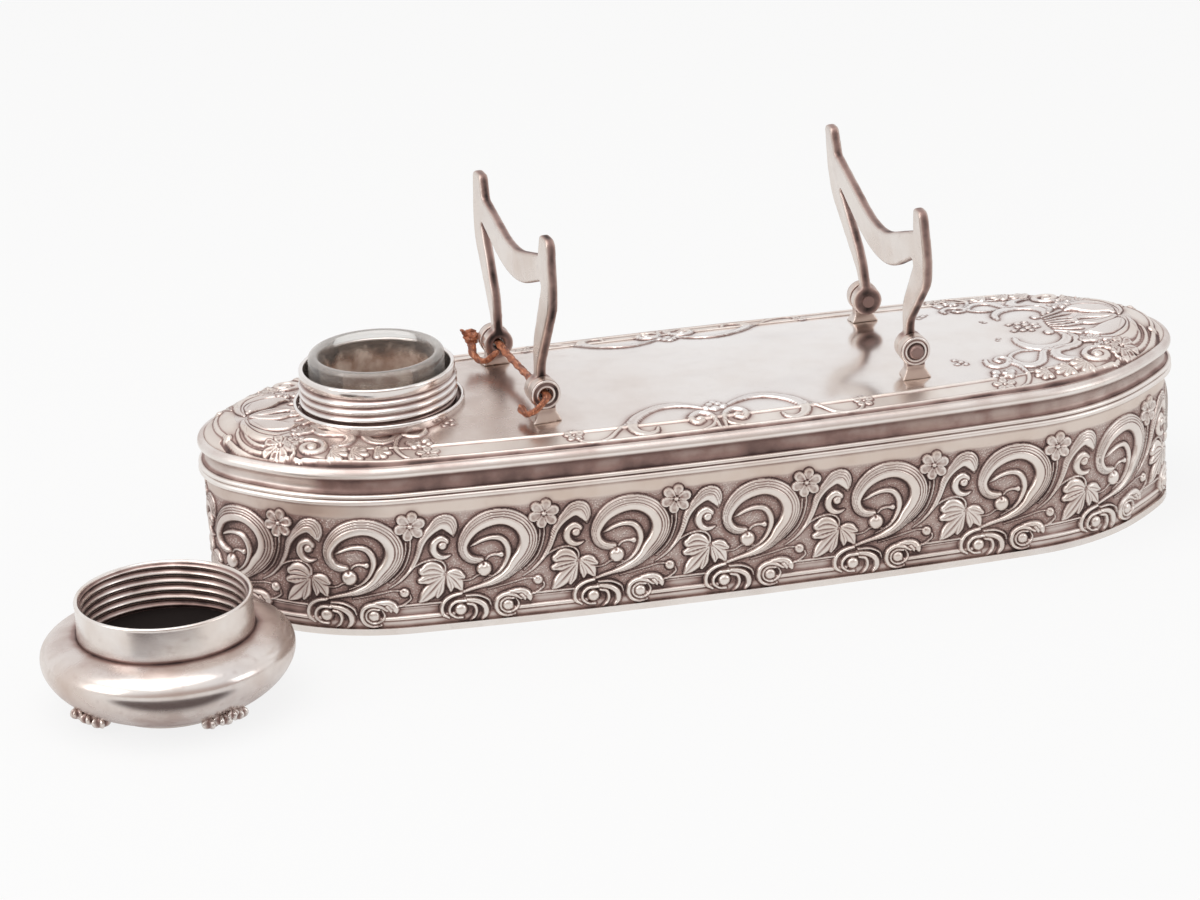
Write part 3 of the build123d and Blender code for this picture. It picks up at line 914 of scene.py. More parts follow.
@dataclass
class Lid:
    """Heights of the vaulted lid.

    Attributes:
        plan: plan of the box.
        crown: height along the middle line.
        drop: fall from there to the border's edge.
        edge_inset: inset of that edge.
        roll: width over which the ends roll down.
    """

    plan: Plan
    crown: float = 45.6
    drop: float = 3.7
    edge_inset: float = 1.9
    roll: float = 8.0

    def height(self, x: Array, y: Array) -> Array:
        """The lower of a circular vault across and a roll that falls as the 2.1 power towards the edge.

        Args:
            x: places on the lid.
            y: places on the lid.

        Returns:
            The plain lid's height there.
        """
        half = self.plan.half_width - self.edge_inset
        radius = (half**2 + self.drop**2) / (2 * self.drop)
        across = self.crown - (radius - np.sqrt(radius**2 - np.minimum(np.abs(y), half) ** 2))
        t = np.clip((self.plan.depth(x, y) - self.edge_inset) / self.roll, 0.0, 1.0)
        rolled = self.crown - self.drop + self.drop * (1 - (1 - t) ** 2.1)
        return np.minimum(across, rolled)


# Units of the band's drawing in a millimetre
DRAWN = 40


@dataclass
class BandOrnament:
    """Running scroll of the side band, drawn once and repeated.

    The drawing has x from its left end and y down from 35 mm up.

    Attributes:
        period: length of one repeat in millimetres.
        band_low: foot of the band.
        band_high: top of the band.
        cell: size of a relief cell.
    """

    period: float = 31.4
    band_low: float = 1.6
    band_high: float = 33.0
    cell: float = 0.1

    def _line(self, *points: Triple) -> list[Triple]:
        """Turn drawing units into millimetres on the band."""
        return [(x / DRAWN, 1.7 + (35 - y / DRAWN - 0.75) * 28 / 28.95, w / DRAWN) for x, y, w in points]

    def _spot(self, x: float, y: float) -> tuple[float, float]:
        """Turn one drawn place into millimetres on the band."""
        return self._line((x, y, 0))[0][:2]

    def draw(self) -> Relief:
        """Lay the whole repeat, lowest forms first."""
        r = Relief((0.0, 0.0), (self.period, 34.0), self.cell, wrap=True)
        rows = (np.arange(r.rows) + 0.5) * self.cell
        r.ground[:] = np.clip((29.6 - rows) / 0.8, 0, 1)[:, None] * np.clip((rows - 3.2) / 0.4, 0, 1)[:, None]
        r.height[:] = 0.10 * np.clip((rows - 29.4) / 0.8, 0, 1)[:, None]
        self._rails(r)
        self._stems(r)
        self._leaves(r)
        self._plumes(r)
        self._volutes(r)
        return r

    def _rails(self, r: Relief) -> None:
        """Foot rails with a sunken panel between them."""
        L = self._line
        r.stroke(L((560, 1218, 34), (1120, 1218, 34)), -0.18, Ridge.FLAT, 0.0)
        r.stroke(L((600, 1155, 10), (1090, 1155, 10)), 0.42, Ridge.ROUND, 0.05)
        r.stroke(L((480, 1284, 20), (1180, 1284, 20)), 0.55, Ridge.ROUND, 0.10)

    def _stems(self, r: Relief) -> None:
        """Thin stems, tendrils and reeds."""
        L = self._line
        lines = [
            ([(300, 925, 5), (172, 905, 6), (110, 938, 6), (45, 948, 6), (-20, 930, 4)], 0.42),
            ([(812, 470, 7), (805, 560, 7), (780, 660, 7), (735, 760, 6), (670, 840, 5), (600, 900, 4)], 0.5),
            ([(770, 500, 6), (760, 600, 6), (715, 720, 6), (640, 820, 6), (520, 920, 5), (380, 985, 4),
              (200, 1035, 3)], 0.45),
            ([(690, 995, 6), (620, 990, 6), (520, 1010, 6), (400, 1035, 5), (250, 1065, 4)], 0.45),
            ([(650, 1165, 6), (700, 1150, 8), (750, 1120, 8), (785, 1085, 8), (780, 1050, 6)], 0.5),
        ]
        for points, height in lines:
            r.stroke(L(*points), height, Ridge.ROUND)
        r.ball(*self._spot(730, 1020), 46 / DRAWN, 0.8)
        r.pit(*self._spot(718, 1000), 14 / DRAWN, 0.4)

    def _leaves(self, r: Relief) -> None:
        """Lobed leaf pair under the arched stem, the hooded plume and its small curl."""
        L = self._line
        right = [
            [(1130, 845, 10), (1190, 858, 44), (1240, 880, 50), (1287, 905, 22)],
            [(1135, 855, 12), (1195, 920, 50), (1235, 980, 54), (1264, 1042, 16)],
            [(1130, 860, 12), (1150, 930, 34), (1165, 990, 38), (1160, 1044, 12)],
        ]
        left = [
            [(1115, 850, 14), (1050, 806, 60), (980, 790, 74), (912, 812, 44)],
            [(1110, 862, 14), (1020, 880, 50), (950, 893, 58), (886, 908, 32)],
            [(1105, 875, 18), (1040, 950, 56), (975, 1022, 70), (915, 1080, 54), (866, 1126, 14)],
            [(1105, 885, 14), (1078, 960, 34), (1058, 1030, 42), (1032, 1088, 18)],
        ]
        r.union([L(*lobe) for lobe in right], 0.72, Ridge.LEAF, 0.12)
        r.union([L(*lobe) for lobe in left], 0.85, Ridge.LEAF, 0.14)
        r.stroke(
            L((755, 830, 6), (810, 775, 7), (870, 735, 8), (940, 708, 8), (1020, 698, 9), (1085, 722, 9),
              (1120, 770, 9), (1122, 825, 9)),
            0.6,
        )
        r.stroke(
            L((1180, 668, 6), (1110, 684, 22), (1048, 655, 32), (1020, 590, 36), (1040, 520, 34),
              (1100, 488, 34), (1140, 520, 34)),
            0.8, Ridge.ROUND, turn=-1,
        )
        r.ball(*self._spot(1108, 560), 42 / DRAWN, 0.95, 0.2)
        r.stroke(
            L((590, 965, 4), (700, 890, 10), (790, 790, 16), (850, 690, 22), (885, 600, 26),
              (910, 520, 32), (960, 440, 38), (1030, 370, 50), (1100, 322, 70), (1165, 330, 82),
              (1202, 395, 58), (1216, 470, 10)),
            0.95, Ridge.PLUME, turn=-1,
        )

    def _plumes(self, r: Relief) -> None:
        """Great reeded plume with its inner crescent, trumpet, berry and five-petalled flower."""
        L = self._line
        r.stroke(
            L((105, 600, 3), (160, 570, 14), (230, 540, 18), (320, 525, 22), (400, 545, 28), (450, 610, 30),
              (465, 690, 28), (445, 770, 22), (400, 850, 16), (330, 915, 10), (220, 970, 5)),
            0.7, Ridge.ROUND,
        )
        r.stroke(
            L((0, 1075, 12), (100, 1045, 18), (200, 1020, 22), (300, 990, 35), (400, 945, 45), (480, 880, 55),
              (540, 805, 70), (610, 720, 78), (655, 620, 85), (655, 520, 88), (600, 415, 85), (500, 340, 82),
              (400, 315, 80), (300, 325, 80), (200, 365, 75), (120, 430, 65), (60, 520, 55), (40, 600, 45),
              (60, 680, 45), (110, 730, 42), (165, 745, 38), (205, 745, 28)),
            1.15, Ridge.PLUME, 0.14,
        )
        r.stroke(L((250, 750, 8), (280, 720, 9), (330, 705, 11), (370, 710, 14), (395, 715, 28)), 0.6)
        r.ball(*self._spot(230, 845), 72 / DRAWN, 1.1, 0.2)
        r.pit(*self._spot(225, 790), 18 / DRAWN, 0.5)
        x, y = self._spot(815, 330)
        r.flower(x, y, 6, 84 / DRAWN, 50 / DRAWN, 0.95, 75.0)

    def _volutes(self, r: Relief) -> None:
        """Two volutes on the foot rail, with their balls and leaf."""
        L = self._line
        big = [
            [(1300, 1105, 8), (1420, 1115, 8), (1510, 1170, 7), (1530, 1230, 4)],
            [(1310, 1190, 10), (1370, 1210, 14), (1390, 1270, 14), (1370, 1330, 12), (1320, 1370, 6)],
            [(1290, 1145, 14), (1400, 1170, 22), (1470, 1230, 24), (1480, 1310, 22), (1440, 1365, 12)],
            [(1256, 1075, 12), (1170, 1095, 14), (1100, 1140, 16), (1068, 1210, 16), (1080, 1280, 15),
             (1130, 1320, 10)],
            [(1290, 1155, 14), (1200, 1160, 14), (1145, 1210, 13), (1140, 1270, 12), (1190, 1320, 10),
             (1260, 1330, 8)],
        ]
        small = [
            [(440, 1110, 10), (530, 1110, 24), (600, 1140, 34), (640, 1190, 26), (645, 1225, 8)],
            [(560, 1150, 14), (590, 1190, 16), (600, 1215, 5)],
            [(560, 1190, 10), (500, 1150, 16), (420, 1130, 18), (345, 1170, 18), (322, 1250, 18),
             (350, 1320, 16), (420, 1355, 12), (500, 1345, 6)],
            [(490, 1180, 9), (420, 1175, 10), (370, 1215, 10), (372, 1280, 10), (430, 1320, 9),
             (500, 1300, 9), (535, 1240, 8), (510, 1180, 5)],
        ]
        for points in big + small:
            r.stroke([(x, y, 1.3 * w) for x, y, w in L(*points)], 0.85, Ridge.ROUND, 0.14)
        r.ball(*self._spot(1245, 1245), 60 / DRAWN, 1.15, 0.25)
        r.ball(*self._spot(435, 1245), 56 / DRAWN, 1.05, 0.25)


@dataclass
class LidOrnament:
    """Ornament of the lid, drawn for the right front quarter and mirrored in both axes.

    Attributes:
        plan: plan of the box.
        bead_inset: inset of the outer bead along the sides.
        rail_inset: inset of the inner bead along the sides.
        cell: size of a relief cell.
    """

    plan: Plan
    bead_inset: float = 3.9
    rail_inset: float = 8.9
    cell: float = 0.1

    def draw(self) -> Relief:
        """Lay the front half; the back half reads it mirrored."""
        r = Relief((-120.0, -38.4), (120.0, 0.4), self.cell)
        for side in (1, -1):
            self._side_rails(r, side)
            self._end(r, side)
            self._corner(r, side)
            self._middle(r, side)
        self._middle_boss(r)
        return r

    @staticmethod
    def _m(side: int, points: Points) -> list[Triple]:
        """Mirror drawn points to the side."""
        return [(side * x, y, w) for x, y, w in points]

    def _stroke(
        self, r: Relief, side: int, points: Points, height: float,
        ridge: Ridge = Ridge.ROUND, groove: float = 0.10, turn: int = 1,
    ) -> None:
        """Lay one stroke, mirrored to the side.

        Args:
            r: the relief.
            side: 1 for the right half, -1 for the left.
            points: its points, drawn for the right half.
            height: its highest rise.
            ridge: its cross-section.
            groove: depth of the gutter round it.
            turn: as for a stroke, in the right half.
        """
        r.stroke(self._m(side, points), height, ridge, groove, turn * side)

    def _side_rails(self, r: Relief, side: int) -> None:
        """End of the outer bead on its way to the corner's volute, and the thin line past the inner one."""
        ends = (self.plan.at(np.array(s), 3.05) for s in (98.0, 101.5))
        tail = [(float(x), float(y), 0.5) for x, y in ends]
        self._stroke(r, side, tail + [(98.9, -24.9, 0.5), (100.6, -23.0, 0.5)], 0.5, Ridge.ROUND, 0.12)
        thin = [(69.5, -27.0, 0.3), (74.0, -26.9, 0.32), (80.0, -25.4, 0.35), (85.0, -24.7, 0.35),
                (88.5, -23.7, 0.35), (91.3, -22.3, 0.3)]
        self._stroke(r, side, thin, 0.4)

    def _end(self, r: Relief, side: int) -> None:
        """End bead round the tip, with the lines that fan out to it."""
        bead = [(100.6, -23.0, 0.5), (104.6, -21.0, 0.55), (107.8, -18.6, 0.6), (110.4, -15.8, 0.62),
                (112.3, -12.6, 0.6), (113.4, -9.6, 0.55), (114.0, -6.8, 0.5)]
        second = [(103.2, -20.0, 0.3), (106.6, -17.9, 0.4), (109.3, -15.0, 0.45), (110.9, -11.8, 0.45),
                  (111.2, -8.6, 0.4), (110.6, -6.4, 0.3)]
        third = [(104.5, -17.2, 0.3), (107.2, -15.2, 0.4), (109.0, -12.0, 0.4), (109.4, -8.6, 0.35),
                 (108.6, -5.8, 0.3)]
        moat = [(x + 0.9, y - 0.75, 0.5) for x, y, _ in bead]
        self._stroke(r, side, moat, -0.4, Ridge.ROUND, 0.0)
        tip = [(114.0, -6.8, 0.5), (114.9, -3.4, 0.5), (115.2, 0.0, 0.5), (115.1, 0.4, 0.5)]
        self._stroke(r, side, tip, 0.35)
        for line in (third, second):
            self._stroke(r, side, line, 0.42)
        self._stroke(r, side, bead, 0.6, Ridge.ROUND, 0.14)
        r.ball(side * 113.6, -8.3, 1.15, 0.9)
        self._tulip(r, side)

    def _tulip(self, r: Relief, side: int) -> None:
        """Tulip lying along the axis at the tip: outer petals, inner petals and a stem."""
        outer = [(97.0, -10.6, 0.6), (99.4, -13.0, 1.5), (103.0, -13.6, 2.3), (106.2, -11.2, 2.4),
                 (108.0, -7.2, 2.0), (108.6, -3.4, 1.2), (108.2, -1.2, 0.4)]
        inner = [(96.8, -8.4, 0.6), (99.6, -8.8, 2.2), (102.8, -7.4, 3.0), (105.6, -5.0, 2.3),
                 (107.2, -2.6, 0.6)]
        heart = [(96.4, -1.2, 0.5), (100.0, -2.2, 1.4), (103.6, -1.6, 1.5), (106.8, -0.2, 0.5)]
        self._stroke(r, side, outer, 0.85, Ridge.LEAF, 0.14)
        self._stroke(r, side, inner, 1.0, Ridge.FLAT, 0.2)
        self._stroke(r, side, heart, 0.7, Ridge.LEAF, 0.16)
        fans = [
            [(89.6, -0.6, 0.35), (93.0, -0.9, 0.4), (97.0, -0.5, 0.5)],
            [(89.6, -1.9, 0.3), (93.2, -2.6, 0.4), (97.4, -2.4, 0.45)],
            [(89.8, -3.4, 0.3), (93.2, -4.8, 0.4), (96.6, -5.6, 0.45)],
            [(89.6, -5.0, 0.35), (92.6, -6.6, 0.5), (95.4, -8.4, 0.5)],
        ]
        for fan in fans:
            self._stroke(r, side, fan, 0.5)
        for x, y, size in ((82.0, -0.2, 0.8), (84.2, -1.2, 0.9), (82.6, -2.4, 0.85), (80.4, -2.3, 0.7),
                           (86.4, -1.0, 0.9), (84.6, -3.0, 0.7)):
            r.ball(side * x, y, size, 0.5)
        r.ball(side * 88.2, -5.6, 1.25, 0.7)

    def _corner(self, r: Relief, side: int) -> None:
        """Scrolls, volute, leaves and flowers of the lid's end."""
        def lay(points: list[Triple], height: float, ridge: Ridge = Ridge.ROUND,
                turn: int = 1) -> None:
            self._stroke(r, side, points, height, ridge, 0.10, turn)

        lay([(78.9, -7.0, 0.5), (79.2, -10.2, 0.9), (81.2, -13.2, 1.3), (84.6, -14.7, 1.5),
             (88.2, -14.0, 1.5), (90.7, -11.6, 1.3), (91.4, -9.0, 1.0), (90.6, -6.9, 0.5)], 0.7, Ridge.RIBBON)
        lay([(92.2, -7.6, 0.5), (93.4, -11.0, 0.9), (92.4, -14.4, 1.2), (89.6, -15.8, 1.2),
             (86.8, -16.6, 1.3), (85.9, -18.9, 1.3), (87.2, -21.2, 1.2), (89.6, -22.0, 0.7),
             (90.6, -21.7, 0.3)], 0.75, Ridge.RIBBON, -1)
        lay([(84.8, -15.4, 0.4), (83.2, -17.0, 0.8), (82.4, -19.4, 1.0), (81.4, -21.6, 1.1),
             (79.0, -22.9, 1.1), (76.4, -21.9, 1.0), (75.0, -19.6, 0.8), (74.7, -17.6, 0.6),
             (76.0, -15.8, 0.5), (78.6, -14.7, 0.45), (81.0, -15.2, 0.3)], 0.65, Ridge.RIBBON, -1)
        lay([(68.6, -17.4, 0.4), (68.4, -19.6, 0.7), (70.0, -21.6, 0.8), (72.4, -21.3, 0.8),
             (73.9, -19.4, 0.7), (73.4, -17.4, 0.55), (71.8, -17.0, 0.5), (70.9, -18.2, 0.5),
             (71.6, -19.3, 0.5)], 0.6)
        lay([(74.0, -20.4, 0.35), (75.7, -22.8, 0.5), (76.5, -25.8, 0.55), (76.3, -28.2, 0.5),
             (75.0, -31.0, 0.45), (73.2, -32.3, 0.3)], 0.5)
        self._volute(r, side)
        self._foliage(r, side)

    def _volute(self, r: Relief, side: int) -> None:
        """Corner volute: one and a half turns inwards from the outer bead, with a ball."""
        turn = np.linspace(-0.30, 2.75 * math.pi, 26)
        size = 4.3 * (1 - turn / (3.3 * math.pi)) ** 0.85
        x = 95.7 + size * np.cos(turn)
        y = -21.1 + size * np.sin(turn)
        width = 0.42 + 0.5 * np.clip(turn / 4.0, 0, 1)
        path = [(100.6, -23.0, 0.45)] + [tuple(p) for p in np.stack([x, y, width], 1).tolist()]
        self._stroke(r, side, path, 0.8, Ridge.ROUND, 0.2, -1)
        r.ball(side * 95.6, -21.3, 1.25, 0.85)

    def _foliage(self, r: Relief, side: int) -> None:
        """Leaves and flowers between the beads, the daisy by the volute, and small dots on the plate."""
        def leaf(x: float, y: float, size: float, angle: float) -> None:
            lobes = []
            for spread, share in ((-78, 0.72), (-40, 0.92), (0, 1.0), (40, 0.92), (78, 0.72)):
                a = math.radians(angle + spread)
                px, py = x + size * share * math.cos(a), y + size * share * math.sin(a)
                lobes.append(self._m(side, [
                    (x, y, size * 0.14), ((x + px) / 2, (y + py) / 2, size * 0.26), (px, py, size * 0.27)
                ]))
            r.union(lobes, 0.75, Ridge.LEAF, 0.16)

        for place in ((91.6, -25.2, 3.5, 205), (87.0, -26.6, 3.3, 200), (81.4, -27.4, 2.9, 195),
                      (73.0, -26.0, 2.2, 160), (96.2, -13.8, 3.0, 80)):
            leaf(*place)
        r.ball(side * 69.2, -24.4, 1.15, 0.7)
        r.ball(side * 68.6, -26.0, 0.85, 0.6)
        r.flower(side * 69.6, -30.4, 5, 1.6, 0.95, 0.75, 90)
        r.flower(side * 102.4, -18.3, 8, 2.9, 1.05, 0.8, 0)
        r.flower(side * 98.3, -16.4, 5, 1.2, 0.7, 0.7, 20)
        for x, y in ((61.4, -15.6), (62.7, -16.9), (61.6, -17.9), (63.6, -18.2)):
            r.ball(side * x, y, 0.62, 0.4)
        for x, y in ((75.3, -6.0), (74.8, -7.0)):
            r.ball(side * x, y, 0.4, 0.2)

    def beads(self, along: Array, inset: Array) -> tuple[Array, Array]:
        """Straight beads of the border, which need no drawing: half-round ridges at their insets.

        Args:
            along: length from the middle of the side.
            inset: inset of the place.

        Returns:
            Their rise, negative in the groove outside the outer bead, and their recess.
        """
        def ridge(across: Array) -> Array:
            return 0.5 * np.sqrt(np.clip(1 - across**2, 0, 1))

        def gutters(across: Array) -> Array:
            return np.exp(-(((np.abs(across) - 1.35) / 0.4) ** 2))

        shift = np.clip(along / 95.0, 0, 1)
        outer = (inset - (self.bead_inset - 0.85 * shift)) / 0.5
        rail = (inset - self.rail_inset) / 0.5
        moat = np.exp(-(((inset - (2.85 - 0.4 * shift)) / 0.42) ** 2)) * np.clip((118 - along) / 6, 0, 1)
        near = np.clip((100 - along) / 1.5, 0, 1)
        held = np.clip((69.5 - along) / 1.0, 0, 1)
        shade = 0.95 * moat + 0.5 * gutters(outer) * near + 0.55 * gutters(rail) * held
        return ridge(outer) * near + ridge(rail) * held - 0.5 * moat, shade

    def _middle(self, r: Relief, side: int) -> None:
        """Ribbons that spring from the side's middle, and the stems beyond them."""
        ribbon = [(2.2, -25.2, 0.3), (5.0, -23.4, 0.6), (9.0, -21.9, 0.9), (13.2, -22.1, 1.0),
                  (16.8, -23.9, 1.1), (19.6, -26.4, 1.3), (20.9, -29.2, 1.3), (20.2, -32.0, 1.1),
                  (18.0, -33.5, 0.8), (15.8, -32.9, 0.6), (15.0, -31.0, 0.35)]
        stem = [(21.4, -27.2, 0.3), (24.4, -30.2, 0.45), (27.4, -33.4, 0.6), (30.6, -34.4, 0.5),
                (33.2, -33.6, 0.45), (34.6, -31.6, 0.35)]
        self._stroke(r, side, stem, 0.5)
        self._stroke(r, side, ribbon, 0.75, Ridge.RIBBON, 0.12, -1)
        r.flower(side * 35.0, -30.2, 5, 1.35, 0.85, 0.7, 90)
        curl = [(0.7, -34.3, 0.3), (1.0, -31.2, 0.55), (1.7, -28.4, 0.75), (3.7, -26.7, 0.85),
                (5.9, -27.6, 0.85), (6.6, -29.8, 0.8), (5.5, -31.3, 0.7), (4.0, -30.5, 0.6)]
        self._stroke(r, side, curl, 0.85, Ridge.ROUND, 0.16, -1)
        r.ball(side * 4.5, -29.4, 0.95, 0.8)
        foot = [(0.9, -30.6, 0.35), (2.2, -33.0, 0.5), (4.6, -34.4, 0.4)]
        self._stroke(r, side, foot, 0.6)

    def _middle_boss(self, r: Relief) -> None:
        """Small shell over the middle volutes."""
        for x, y, size in ((-2.0, -24.9, 1.0), (2.0, -24.9, 1.0), (-1.0, -23.6, 1.0), (1.0, -23.6, 1.0),
                           (0.0, -22.6, 0.9), (0.0, -25.4, 1.2)):
            r.ball(x, y, size, 0.7)


@dataclass
class BoxBody:
    """The oval box: relief band, mouldings and lid.

    Attributes:
        shop: makes the objects.
        plan: plan of the box.
        lid: heights of the lid.
        well_x: axis of the ink well.
        step: spacing of the relief grids.
    """

    shop: Workshop
    plan: Plan
    lid: Lid
    well_x: float = -76.0
    step: float = 0.25

    PLATE_INSET = 9.4
    SIDE_START = -75.8
    SIDE_RUN = 5 * 31.58
    # Section of the cover moulding: inset, height and recess. Its recess is painted shade on the top of the
    # shoulder, and in the cove both tarnish and painted shade, darkest at the cove's foot.
    COVER = (
        (3.2, 41.2, 1.0), (2.1, 41.55, 0.9), (1.95, 41.85, 0.5), (1.6, 41.95, 0.22), (1.15, 41.85, 0.2),
        (0.75, 41.6, 0.24), (0.42, 41.2, 0.2), (0.2, 40.7, 0.05), (0.17, 40.3, 0.0), (0.3, 39.9, 0.16),
        (0.5, 39.6, 0.38), (0.8, 39.35, 0.55), (1.1, 39.1, 0.58), (1.4, 38.7, 0.55), (1.65, 38.2, 0.50),
        (1.8, 37.6, 0.50), (1.85, 37.1, 0.52), (1.8, 36.6, 0.56), (1.55, 36.2, 0.64), (1.15, 35.95, 0.78),
        (0.95, 35.82, 1.0), (3.2, 35.8, 1.0), (3.3, 38.5, 1.0),
    )
    STRIP = (
        (1.0, 35.8, 0.9), (0.7, 35.78, 0.5), (0.4, 35.68, 0.1), (0.16, 35.45, 0.0), (0.08, 35.2, 0.0),
        (0.16, 34.95, 0.05), (0.4, 34.75, 0.4), (0.72, 34.66, 0.95), (0.5, 34.52, 0.5), (0.2, 34.34, 0.0),
        (0.04, 34.05, 0.0), (0.0, 33.75, 0.0), (0.08, 33.45, 0.0), (0.3, 33.2, 0.1), (0.62, 33.05, 0.5),
        (1.0, 33.0, 1.0), (3.2, 33.0, 1.0), (3.2, 35.8, 1.0),
    )

    def build(self) -> None:
        """Make every piece of the box."""
        self._band()
        ornament = LidOrnament(self.plan)
        relief = ornament.draw()
        fields = (relief, blurred(relief.height, 1.0), relief.recess() * 0.95)
        self._border(ornament, *fields)
        self._plate(*fields)
        self._moulding("cover_rim", self.COVER, ("cover_moulding", "outer_bead"))
        self._moulding("double_bead", self.STRIP, ("bead_strip",))
        self.shop.dress(WORN, "base_plate")
        self.shop.dress(TARNISHED, "well_cup")
        self.shop.dress(DARK_LEATHER, "liner_cushion")

    def _moulding(self, name: str, section: Points, nodes: tuple[str, ...], around: int = 720) -> None:
        """Carry a closed section once round the plan.

        Args:
            name: the piece's name.
            section: inset, height and recess of its points.
            nodes: CAD nodes that it stands for.
            around: sections round the plan.
        """
        inset, height, recess = (np.array(column, float) for column in zip(*section))
        s = np.arange(around) * self.plan.length / around
        x, y = self.plan.at(s[:, None], inset[None, :])
        # The recess along x: fullest from x -94 to 20, lighter towards both ends; on the shoulder and the
        # cove this is painted shade
        share = np.interp(
            x, [-120, -106, -97, -94, 20, 80, 104, 120], [0.3, 0.3, 0.45, 1.12, 1.0, 0.7, 0.5, 0.35]
        )
        shaded = (recess < 0.6) & (height < 40)
        tone = np.interp(height, [35.9, 36.2, 38.5, 40.2], [0.2, 0.95, 0.35, 0.05])
        self.shop.mesh(
            name, np.stack([x, y, np.broadcast_to(height, x.shape)], -1),
            grid_faces(around, len(section), True, True), Body.BOX, MOULDED, nodes,
            recess=np.where(shaded, share, np.maximum(share, 0.8)) * recess[None, :],
            warm=tone[None, :] * np.clip(share, 0, 1),
        )

    def _phase(self, s: Array) -> Array:
        """Number of band repeats up to length s: a little longer round the ends than along the sides."""
        ends = self.plan.length / 2 - self.SIDE_RUN
        knots = np.cumsum([self.SIDE_START, self.SIDE_RUN, ends, self.SIDE_RUN, ends])
        round_once = np.mod(s - self.SIDE_START, self.plan.length) + self.SIDE_START
        return np.interp(round_once, knots, [0.0, 5.0, 8.5, 13.5, 17.0])

    def _band(self) -> None:
        """Relief band in six lengths: the outer face moved out by the ornament, a plain wall behind."""
        drawing = BandOrnament()
        relief = drawing.draw()
        recess, ground = relief.recess(), relief.ground
        fine = self.step * 0.8
        rows = int((drawing.band_high - drawing.band_low) / fine)
        z = np.linspace(drawing.band_low, drawing.band_high, rows)
        lengths = np.linspace(0.0, self.plan.length, 7)
        for k, (low, high) in enumerate(zip(lengths, lengths[1:])):
            s = np.linspace(low, high, int((high - low) / fine))
            at = (self._phase(s) * drawing.period + 815 / DRAWN)[:, None] + 0 * z
            v = np.broadcast_to(z, at.shape)
            lift = relief.sample(relief.height, at, v)
            face = np.interp(z, [1.6, 33.0], [2.1, 1.75])[None, :] - lift
            inset = np.concatenate([face, np.full((len(s), 2), 3.0)], 1)
            height = np.concatenate([v, np.tile([33.0, 1.6], (len(s), 1))], 1)
            x, y = self.plan.at(s[:, None], inset)
            shade = np.concatenate([relief.sample(recess, at, v), np.ones((len(s), 2))], 1)
            mat = np.concatenate([relief.sample(ground, at, v), np.zeros((len(s), 2))], 1)
            warm = np.interp(height, [1.6, 28.5, 30.0, 33.0], [0.2, 0.2, 0.65, 0.6])
            shade = shade * np.interp(x, [-120, -80, 60, 105], [1.1, 1.0, 0.95, 0.78])
            shade = shade + np.interp(x, [-121, -100, -88], [0.16, 0.14, 0.0])
            top = np.interp(height, [32.0, 32.8, 33.0], [0.0, 0.5, 0.9])
            foot = np.interp(height, [1.6, 2.0, 2.5], [0.9, 0.5, 0.0])
            self.shop.mesh(
                f"chased_band_{k + 1}", np.stack([x, y, height], -1),
                grid_faces(len(s), inset.shape[1], False, True)[:, ::-1], Body.BOX, CHASED,
                ("side_band",) if k == 0 else (), recess=np.clip(shade + top + foot, 0, 1), ground=mat,
                warm=warm,
            )

    def _lid_values(
        self, relief: Relief, height: Array, recess: Array, x: Array, y: Array
    ) -> tuple[Array, Array]:
        """Read the lid's ornament.

        Args:
            relief: the drawn front half.
            height: its heights, softened.
            recess: its recess.
            x: places on the lid.
            y: places on the lid.

        Returns:
            Height of the lid with its ornament, and its recess, at the places.
        """
        v = -np.abs(y)
        z = self.lid.height(x, y) + np.clip(relief.sample(height, x, v), -0.5, 1.1) * 0.8
        return z, relief.sample(recess, x, v)

    def _border(self, ornament: LidOrnament, relief: Relief, height: Array, recess: Array) -> None:
        """Make the ring between the cover's shoulder and the plate, with its beads and an underside.

        Args:
            ornament: gives the straight beads.
            relief: the drawn front half.
            height: its heights, softened.
            recess: its recess.
        """
        inset = np.concatenate([np.arange(1.9, self.PLATE_INSET, self.step * 0.9), [self.PLATE_INSET]])
        around = int(self.plan.length / (self.step * 1.05))
        s = np.arange(around) * self.plan.length / around
        x, y = self.plan.at(s[:, None], inset[None, :])
        z, shade = self._lid_values(relief, height, recess, x, y)
        half = self.plan.length / 2
        along = np.minimum(np.mod(s, half), half - np.mod(s, half))[:, None]
        ridge, shadow = ornament.beads(along, inset[None, :])
        plain = self.lid.height(x, y)
        drawn = z - plain
        z = plain + np.where(ridge > 0, np.maximum(ridge * 0.8, drawn), drawn + ridge * 0.8)
        shade = np.maximum(np.where(ridge > 0.15, shade * 0.3, shade), shadow * (drawn < 0.25))
        edge = np.interp(inset, [1.9, 2.2], [0.3, 0.0])[None, :]
        x, y = (np.concatenate([each, each[:, -1:], each[:, :1]], 1) for each in (x, y))
        z = np.concatenate([z, z[:, -1:] - 1.5, z[:, :1] - 1.2], 1)
        self.shop.mesh(
            "lid_border", np.stack([x, y, z], -1), grid_faces(around, z.shape[1], True, True)[:, ::-1],
            Body.BOX, CHASED, ("border", "inner_bead"),
            recess=np.concatenate([np.clip(shade + edge, 0, 1), np.ones((around, 2))], 1),
            warm=np.interp(x, [-120, -70, 60, 110], [0.5, 0.4, 0.2, 0.35]),
        )

